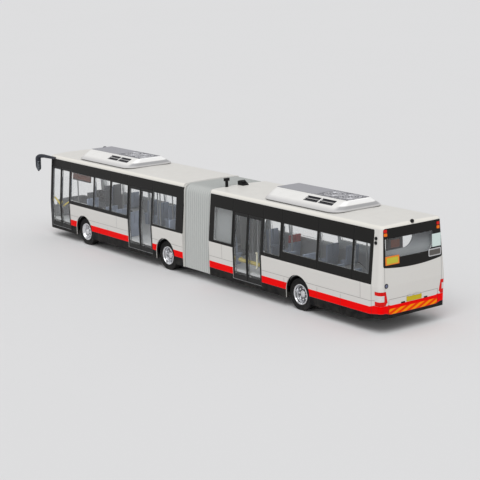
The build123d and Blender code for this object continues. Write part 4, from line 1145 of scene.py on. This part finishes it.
# ---------------------------------------------------------------- roof
class BUS_OT_roof(bpy.types.Operator):
    """Finish the roof pods, their plates and the aerials, and add fans with their guards and a dome"""

    bl_idname = "bus.roof"
    bl_label = "Roof"

    pod_starts = (("front_section", front_end_x + 46.3), ("rear_section", tail_x + 28.5))
    louvre_x = ((5.2, 13.1), (13.9, 21.6))       # from the pod's rear end
    louvre_y = ((7.5, 8.7), (9.0, 10.2))
    louvre_margin = (0.1, 0.07)                  # of the dark paint round each opening, along x and y
    mesh_x = (1.0, 20.2)                         # part of the plate that is a mesh
    plate_z = 43.4
    fan_leads = (5.9, 14.6)                      # from the pod's rear end
    fan_rings = (1.3, 2.5, 3.7)
    fan_r = 4.3

    def execute(self, context):
        black = grained_finish("aerial_black", srgb(16, 16, 17), 6.0, 0.2, 0.03, 0.4, specular=0.2)
        guard = grained_finish("fan_guard", srgb(206, 206, 210), 8.0, 0.1, 0.02, 0.35, metallic=0.3)
        well = grained_finish("fan_well", srgb(84, 84, 90), 8.0, 0.2, 0.02, 0.6)
        give(["front_pod", "rear_pod"], self.pod_paint())
        give(["front_pod_plate", "rear_pod_plate"], self.plate_paint())
        give(["roof_aerials"], black)
        for body, start in self.pod_starts:
            centres = [(start + lead, 0.0, self.plate_z) for lead in self.fan_leads]
            for label, form, material in (("_fan_guards", self.guard, guard), ("_fans", self.fan, well)):
                parts = [part for centre in centres for part in form(centre)]
                add_piece(body + label, parts, material, body, "pod_grey")
        dome = rounded_block((rear_end_x - 1.9, -0.4, crown_z + 1.3), (3.0, 2.6, 1.5), 0.8)
        add_piece("roof_dome", [dome], black, "rear_section", "mirror_black")
        return {"FINISHED"}

    def pod_paint(self):
        """White moulding with dark louvre openings by place, a painted shadow on its foot, painted shade low
        on its sides and on the lower rear faces, and a painted highlight on the sloping rear ends.
        """
        finish = Finish("pod_white", 2.0, 0.04, specular=0.3, coat=0.1)
        z, aside = finish.z, abs(finish.y)
        by_x, by_y = self.louvre_margin
        louvres = [
            span(finish.x, start + x0 - by_x, start + x1 + by_x) * span(aside, low - by_y, high + by_y)
            for _, start in self.pod_starts for x0, x1 in self.louvre_x for low, high in self.louvre_y
        ]
        foot = span(z, 30.0, 39.62)
        shaded = ramp(z, 41.3, 40.2) * (1.0 - foot) * 0.75
        ends = ramp(finish.facing_x, -0.25, -0.5)
        shade = finish.toned(srgb(232, 231, 229))
        # Painted light: a painted shadow on the foot under the flange, painted shade low on the sides, a
        # white painted highlight high on the sloping rear ends, and painted shade on the rear faces below it.
        for mask, paint in (
            (most(*louvres), (30, 30, 40)), (foot, (110, 110, 108)), (shaded, (186, 185, 186)),
            (ends * ramp(z, 41.5, 41.8), (255, 255, 255)),
            (ends * span(z, 40.35, 41.5, 0.3), (170, 170, 172)),
        ):
            shade = mixed(mask, shade, srgb(*paint))
        shade = mixed(finish.dust(0.12), shade, finish.dust_colour)
        return finish.done(shade, (0.25, 0.36), finish.grain, 0.03)

    def plate_paint(self):
        """Grey plate, plain in front. Its rear part is a mesh, with wires by waves and holes by noise."""
        finish = Finish("pod_grey", 5.0, 0.12, specular=0.2)
        low, high = self.mesh_x
        behind = most(*[span(finish.x, start + low, start + high) for _, start in self.pod_starts])
        broken = ramp(noise(finish.place, 1.1, 2.0), 0.4, 0.6)
        wires = most(*[abs(sine(along_axis, math.pi / 0.55)) < 0.35 for along_axis in (finish.x, finish.y)])
        mesh = calc("MULTIPLY_ADD", wires, 0.35, broken * 0.65)
        shade = mixed(behind, srgb(156, 156, 162), mixed(mesh, srgb(92, 92, 98), srgb(176, 176, 182)))
        return finish.done(finish.toned(shade), (0.4, 0.52), mesh * behind, 0.06)

    def guard(self, centre):
        """Wire rings over a fan, each a circle (x, y) = r (cos a, sin a), and four wires across them."""
        angle = np.linspace(0, 2 * math.pi, 40, endpoint=False)
        outward = np.stack([np.cos(angle), np.sin(angle), np.zeros(40)], -1)
        for radius in (*self.fan_rings, self.fan_r):
            path = np.asarray(centre) + radius * outward + (0, 0, 0.12)
            yield sweep(path, round_section(0.1, 6), outward, (0, 0, 1), closed=True)
        for turn in np.linspace(0, math.pi, 4, endpoint=False) + 0.2:
            way = np.array([math.cos(turn), math.sin(turn), 0])
            path = np.asarray(centre) + np.linspace(-self.fan_r, self.fan_r, 6)[:, None] * way + (0, 0, 0.1)
            yield sweep(path, round_section(0.08, 6), np.cross(way, (0, 0, 1)), (0, 0, 1))

    def fan(self, centre):
        """Low round well under each guard, with a hub, as profiles of level and radius."""
        well = [(0.02, 0), (0.02, self.fan_r), (0.05, self.fan_r), (0.05, 0)]
        hub = [(0.05, 0), (0.05, 0.9), (0.2, 0.8), (0.22, 0)]
        return [turned(profile, centre, 32, upright=True) for profile in (well, hub)]


# ---------------------------------------------------------------- lamps
class BUS_OT_lamps(bpy.types.Operator):
    """Finish head lamps, tail lamps and displays, and add marker lamps and the tail's small fittings"""

    bl_idname = "bus.lamps"
    bl_label = "Lamps"

    white_y = 14.7           # the tail lamps' white block starts this far from the middle
    white_z = (11.6, 13.9)
    head_centres = ((10.3, 10.3), (13.2, 10.3))      # of the reflectors on each side: y and z
    dot_pitch = 0.45
    tail_dots = ((5.6, 9.8), (30.5, 33.4))           # y and z of the lit part of the tail's display
    side_dots = ((-8.5, 20.0), (29.9, 36.4))         # and of the displays further forward,
    side_lit_x = front_openings["bay_4"][0] + 4.6    # which are lit from here on

    def execute(self, context):
        give(["tail_lamps"], self.tail_lens())
        give(["headlamps"], self.head_lens())
        give(["front_displays", "rear_display"], self.display(context.scene.bus_glass))
        plate = grained_finish("plate_yellow", srgb(204, 180, 26), 4.0, 0.3, 0.02, 0.4, specular=0.2)
        give(["number_plate"], plate)
        self.marker_lamps()
        self.tail_fittings()
        return {"FINISHED"}

    def tail_lens(self):
        """Ribbed red lens with a white block inside its C, and a small white corner at its foot."""
        finish = Finish("lamp_red", coat=0.1, specular=0.1)
        z, aside = finish.z, abs(finish.y)
        block = span(z, *self.white_z) * (aside > self.white_y)
        corner = span(z, 9.9, 11.0) * (calc("MULTIPLY_ADD", z, 0.6, aside) < 20.0)
        ribs = sine(z, 2 * math.pi / 0.5)
        shade = mixed(most(block, corner), srgb(226, 14, 8), srgb(224, 222, 220))
        shade = mixed(ramp(ribs, -1, 1, 0.0, 0.08), shade, (0.1, 0.0, 0.0))
        return finish.done(shade, ramp(ribs, -1, 1, 0.12, 0.2), ribs, 0.04)

    def head_lens(self):
        """Clear lens over two round reflectors, drawn by distance from their centres."""
        finish = Finish("lamp_clear", coat=1.0, coat_rough=0.03)
        aside = abs(finish.y)
        away = [distance(aside - y, finish.z - z) for y, z in self.head_centres]
        rim = most(*[line(radius, 1.35, 0.16) for radius in away])
        bowl = most(*[ramp(radius, 1.2, 0.2) for radius in away])
        shade = mixed(bowl, srgb(120, 124, 128), srgb(238, 240, 242))
        shade = mixed(rim, shade, srgb(60, 62, 64))
        finish.set(metallic=ramp(bowl, 0, 1, 0.3, 0.9))
        return finish.done(shade, ramp(bowl, 0, 1, 0.3, 0.12), rim - bowl, 0.2)

    def display(self, glass):
        """Dark panel with a patch of dim dots that glow faintly, as painted light, on the displays further
        forward, and on the tail's left end.
        """
        finish = Finish("display_amber", glow_strength=0.04, specular=0.1)
        x, y, z = finish.x, finish.y, finish.z
        level = mixed(abs(finish.facing_x) > 0.7, x, y)
        dots = self.wave(level) * self.wave(z)
        (tail_y, tail_z), (side_y_range, side_z) = self.tail_dots, self.side_dots
        tail = span(y, *tail_y) * span(z, *tail_z) * (x < tail_x + 9)
        front = (x > self.side_lit_x) * span(z, *side_z) * span(y, *side_y_range)
        lit = (dots > 0.3) * most(tail, front)
        # Painted light: the dots glow faintly, though the displays hold no lamp.
        finish.set(glow=mixed(lit, (0.0, 0.0, 0.0), srgb(200, 84, 12)))
        return finish.done(mixed(lit, srgb(40, 37, 38), glass.amber), ramp(dots, 0, 1, 0.5, 0.3))

    def wave(self, coordinate):
        """Half waves, one to each dot."""
        return abs(sine(coordinate, math.pi / self.dot_pitch))

    def marker_lamps(self):
        """Small red and amber lamps high on the tail's corners, on its face."""
        for name, paint, places in (
            ("marker_red", (214, 20, 12), [(13.8, 37.35), (-12.9, 36.75)]),
            ("marker_amber", (246, 120, 10), [(13.7, 36.0), (-12.9, 35.3)]),
        ):
            material = grained_finish(name, srgb(*paint), 6.0, 0.1, 0.02, 0.3, specular=0.2)
            parts = [tail_patch(y - 0.7, y + 0.7, z - 0.55, z + 0.55, 0.25, 0.3, -0.1) for y, z in places]
            add_piece(name + "_lamps", parts, material, "rear_section", "lamp_red")

    def tail_fittings(self):
        """Blank plates on the tail panel, a filler cap, a camera on the roof's edge and two corner stops."""
        black = grained_finish("fitting_black", srgb(18, 18, 19), 6.0, 0.2, 0.02, 0.4, specular=0.2)
        amber, olive, pale, border, grey, blue = (
            grained_finish(name, srgb(*paint), 6.0, contrast, 0.02, 0.4) for name, paint, contrast in (
                ("label_amber", (240, 132, 16), 0.06), ("label_olive", (196, 190, 44), 0.12),
                ("label_pale", (212, 228, 224), 0.05), ("label_border", (196, 196, 198), 0.05),
                ("label_grey", (84, 80, 76), 0.15), ("cap_blue", (104, 108, 136), 0.1),
            )
        )
        plates = [           # name, finish, y0, y1, z0, z1, corner, lift
            ("label_amber", amber, 7.3, 14.0, 24.85, 28.0, 0.15, 0.0),
            ("label_olive", olive, 7.9, 13.4, 25.3, 27.5, 0.1, 0.06),
            ("label_pale", pale, -14.3, -9.7, 28.2, 33.0, 0.1, 0.0),
            ("label_border", border, -14.3, -7.7, 24.8, 27.6, 0.5, 0.0),
            ("label_grey", grey, -13.9, -8.1, 25.2, 27.2, 0.4, 0.06),
            ("filler_ring", black, 12.95, 14.75, 16.45, 18.25, 0.89, 0.0),
            ("filler_cap", blue, 13.3, 14.4, 16.8, 17.9, 0.54, 0.08),
            ("bumper_step_left", black, 4.5, 6.5, 9.75, 10.3, 0.2, 0.0),
            ("bumper_step_right", black, -7.0, -5.2, 9.75, 10.3, 0.2, 0.0),
            ("plate_lamp_left", border, 1.2, 3.2, 11.85, 12.35, 0.2, 0.3),
            ("plate_lamp_right", border, -2.9, 0.1, 11.85, 12.35, 0.2, 0.3),
        ]
        for name, material, *box, lift in plates:
            add_piece(name, [tail_patch(*box, 0.12, lift - 0.03)], material, "rear_section", "plate_yellow")
        ball = rounded_block((tail_x + 1.1, 0.3, 39.3), (1.5, 1.5, 1.5), 1.0)
        stop = [(0, 0), (-0.1, 0.7), (0.25, 0.65), (0.36, 0.4), (0.36, 0)]
        stops = [turned(stop, (-116.6, float(side_y(z)), z), 24, closed=False) for z in (34.5, 32.9)]
        add_piece("tail_camera", [ball, *stops], black, "rear_section", "mirror_black")


# ---------------------------------------------------------------- saloon and underbody
class BUS_OT_saloon(bpy.types.Operator):
    """Finish the saloon and the chassis, and add the mirrors, inner panels and the tail window's cover"""

    bl_idname = "bus.saloon"
    bl_label = "Saloon and chassis"

    box_r = 7.6          # the wheel boxes' inner faces are nearer to the axle
    thread_rate = 18.0   # of the waves that weave the seats' pads
    red_seats = (68.0, 81.0)     # from the tail
    seat_pan_z = 16.8
    cover_grid = (8, 60)
    cover_foot = 25.5
    cover_depths = (2.4, 2.8)    # of the cover's two faces inside the tail

    def execute(self, context):
        values = context.scene.bus_saloon
        control = grained_finish("control_black", srgb(44, 46, 50), 6.0, 0.2, 0.03, 0.5)
        chassis = grained_finish("chassis_black", srgb(30, 30, 31), 3.0, 0.3, 0.05, 0.6, 0.3)
        give(["front_floor", "rear_floor"], self.floor_finish(values))
        give(["driver_cab"], grained_finish("cab_grey", srgb(92, 96, 102), 5.0, 0.15, 0.03, 0.55))
        give(["steering_wheel"], control)
        give(["front_chassis", "rear_chassis"], chassis)
        self.mirrors()
        self.tail_cover()
        self.screens()
        give(["front_seats", "rear_seats"], self.seat_fabric(values))
        return {"FINISHED"}

    def floor_finish(self, values):
        """Pale floor covering above, with painted shade: dark underneath and inside the wheel boxes."""
        finish = Finish("saloon_grey", 5.0, 0.2, specular=0.3)
        # Painted shade: near-black on faces that look down and inside the wheel boxes.
        below = most(finish.facing_z < -0.5, near_wheels(finish, axle_z, self.box_r))
        shade = finish.toned(mixed(below, values.floor, srgb(24, 24, 25)))
        return finish.done(shade, (0.52, 0.68), finish.grain, 0.03)

    def mirrors(self):
        """Horn-shaped arms whose section swells to the bend and tapers down the head, and a pane in each
        head's back. The section at a path point is an ellipse with its own two radii, wide and deep."""
        shell = grained_finish("mirror_black", srgb(54, 56, 64), 6.0, 0.2, 0.02, 0.4, specular=0.25)
        pane = grained_finish("mirror_glass", srgb(122, 126, 132), 6.0, 0.05, 0.005, 0.08, metallic=0.8)
        low, high = extent("mirrors")
        foot, top = low[2] - ride_lift, high[2] - ride_lift
        ahead = high[0] - 0.95
        shares = [0, 0.25, 0.5, 0.62, 0.85, 0.97, 1]
        horns, panes = [], []
        for side in (1, -1):
            out = side * (half_width + 2.45)
            path = smooth_path([
                (low[0] + 0.3, side * float(side_y(37.9) + 0.35), 37.9),
                (ahead - 2.6, out - side * 1.2, top - 0.5), (ahead, out, top - 0.9),
                (ahead + 0.1, out, foot + 3.0), (ahead, out, foot + 0.1),
            ], 1.3, 10)
            run = np.concatenate([[0], np.cumsum(np.linalg.norm(np.diff(path, axis=0), axis=1))])
            wide = np.interp(run / run[-1], shares, [0.55, 0.65, 0.9, 1.45, 1.4, 0.9, 0.25])
            deep = np.interp(run / run[-1], shares, [0.6, 0.7, 0.95, 1.0, 0.95, 0.7, 0.25])
            tangent = along(path)
            across = np.array([0, 1, 0]) - tangent[:, 1:2] * tangent
            across /= np.linalg.norm(across, axis=1)[:, None]
            lift = np.cross(across, tangent)
            horns.append(sweep(path, round_section(1.0, 20), across * wide[:, None], lift * deep[:, None]))
            panes.append(rounded_block((ahead - 0.62, out, foot + 3.0), (0.9, 2.0, 4.4), 0.5))
        shells = add_piece("mirror_horns", horns, shell, "front_section", "mirror_black")
        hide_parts("mirrors")
        add_piece("mirror_glass", panes, pane, "front_section", "mirror_black")

    def screens(self):
        """Plain inner panels: a screen behind the window by the bellows, and a shelf under the windscreen."""
        grey = grained_finish("screen_grey", srgb(146, 148, 149), 0.5, 0.3, 0.02, 0.5)
        dark = grained_finish("shelf_grey", srgb(112, 114, 118), 5.0, 0.15, 0.03, 0.55)
        x0, x1, z0, z1 = rear_openings["bay_9"]
        place, outward = on_side(np.linspace((x0 - 0.3, z0 - 0.6), (x0 - 0.3, z1 + 0.8), 10), 1, -1.9)
        width = x1 - x0 + 1.4
        section = np.array([(0, 0), (width, 0), (width, -0.25), (0, -0.25)])
        screen = sweep(place, section, (1, 0, 0), outward)
        add_piece("bay_screen", [screen], grey, "rear_section", "saloon_grey")
        shelf = rounded_block((nose_x - 4.4, 4.6, 12.9), (2.4, 17.6, 8.6), 0.3)
        add_piece("front_shelf", [shelf], dark, "front_section", "saloon_grey")

    def tail_cover(self):
        """Grey cover inside the tail window: a sheet whose top edge is full height on the right,
        then falls along a quarter circle about (3.6, 34.6), and is low on the left."""
        rows, columns = self.cover_grid
        y = np.linspace(-13.0, 14.2, columns)
        fall = 34.6 - np.sqrt(np.clip(4.8 ** 2 - (y - 3.6) ** 2, 0, None))
        top = np.where(y < -1.2, 35.6, np.where(y > 3.6, 29.8, fall))
        z = self.cover_foot + (top - self.cover_foot) * np.linspace(0, 1, rows)[:, None]
        across = np.broadcast_to(y, z.shape)
        sheets = [
            np.stack([tail_x + depth + 0.02 * (z - 30), across, z], -1).reshape(-1, 3)
            for depth in self.cover_depths
        ]
        count = rows * columns
        front = grid_faces(rows, columns)
        rim = np.concatenate([
            np.arange(columns), np.arange(1, rows) * columns + columns - 1,
            (rows - 1) * columns + np.arange(columns - 2, -1, -1), np.arange(rows - 2, 0, -1) * columns,
        ])
        beside = np.roll(rim, -1)
        edge = np.stack([rim, beside, beside + count, rim + count], -1)
        sheet = np.concatenate(sheets), np.concatenate([front, front[:, ::-1] + count, edge]).tolist()
        add_piece("tail_cover", [sheet], self.cover_finish(), "rear_section", "saloon_grey")

    def cover_finish(self):
        """Grey moulding, darker towards its top on the right."""
        finish = Finish("cover_grey", 5.0, 0.1, specular=0.2)
        high = ramp(finish.z, 29.0, 33.5) * ramp(finish.y, 4.0, -9.0, 0.4, 1.0)
        shade = finish.toned(mixed(high, srgb(146, 149, 152), srgb(58, 62, 68)))
        return finish.done(shade, (0.45, 0.6), finish.grain, 0.03)

    def seat_fabric(self, values):
        """Moulded seats with a pad of crossed threads in tone and height. Some near the doors are red."""
        finish = Finish("seat_blue", 4.0, 0.25, sheen=0.2, specular=0.3)
        threads = sine(finish.y, self.thread_rate) * sine(finish.z, self.thread_rate)
        low, high = self.red_seats
        near_doors = span(finish.x, tail_x + low, tail_x + high) * (finish.y < 0.0)
        tint = mixed(near_doors * (finish.z > self.seat_pan_z), values.seat, values.seat_second)
        shade = scaled(tint, calc("MULTIPLY_ADD", threads, 0.08, finish.tone))
        return finish.done(shade, (0.55, 0.75), calc("MULTIPLY_ADD", threads, 0.5, finish.grain), 0.05)


# ---------------------------------------------------------------- sidebar and running
steps = [
    BUS_OT_stage, BUS_OT_body_paint, BUS_OT_window_bands, BUS_OT_glazing, BUS_OT_doors, BUS_OT_bellows,
    BUS_OT_wheels, BUS_OT_roof, BUS_OT_lamps, BUS_OT_saloon,
]


class BUS_PT_sidebar(bpy.types.Panel):
    """Lists the steps and the values that they use"""

    bl_idname = "BUS_PT_sidebar"
    bl_label = "Articulated bus"
    bl_space_type = "VIEW_3D"
    bl_region_type = "UI"
    bl_category = "Bus"

    def draw(self, context):
        for step in steps:
            self.layout.operator(step.bl_idname)
        for name, group in settings_groups.items():
            box = self.layout.box()
            box.label(text=group.__doc__)
            for value in group.__annotations__:
                box.prop(getattr(context.scene, name), value)


def register():
    for name, group in settings_groups.items():
        bpy.utils.register_class(group)
        setattr(bpy.types.Scene, name, bpy.props.PointerProperty(type=group))
    for kind in (*steps, BUS_PT_sidebar):
        bpy.utils.register_class(kind)


def unregister():
    for kind in reversed((*steps, BUS_PT_sidebar)):
        bpy.utils.unregister_class(kind)
    for name, group in settings_groups.items():
        delattr(bpy.types.Scene, name)
        bpy.utils.unregister_class(group)


def main():
    """Registers the add-on and runs each step in order."""
    register()
    for step in steps:
        name = step.bl_idname.split(".")[1]
        getattr(bpy.ops.bus, name)()


if __name__ == "__main__":
    main()
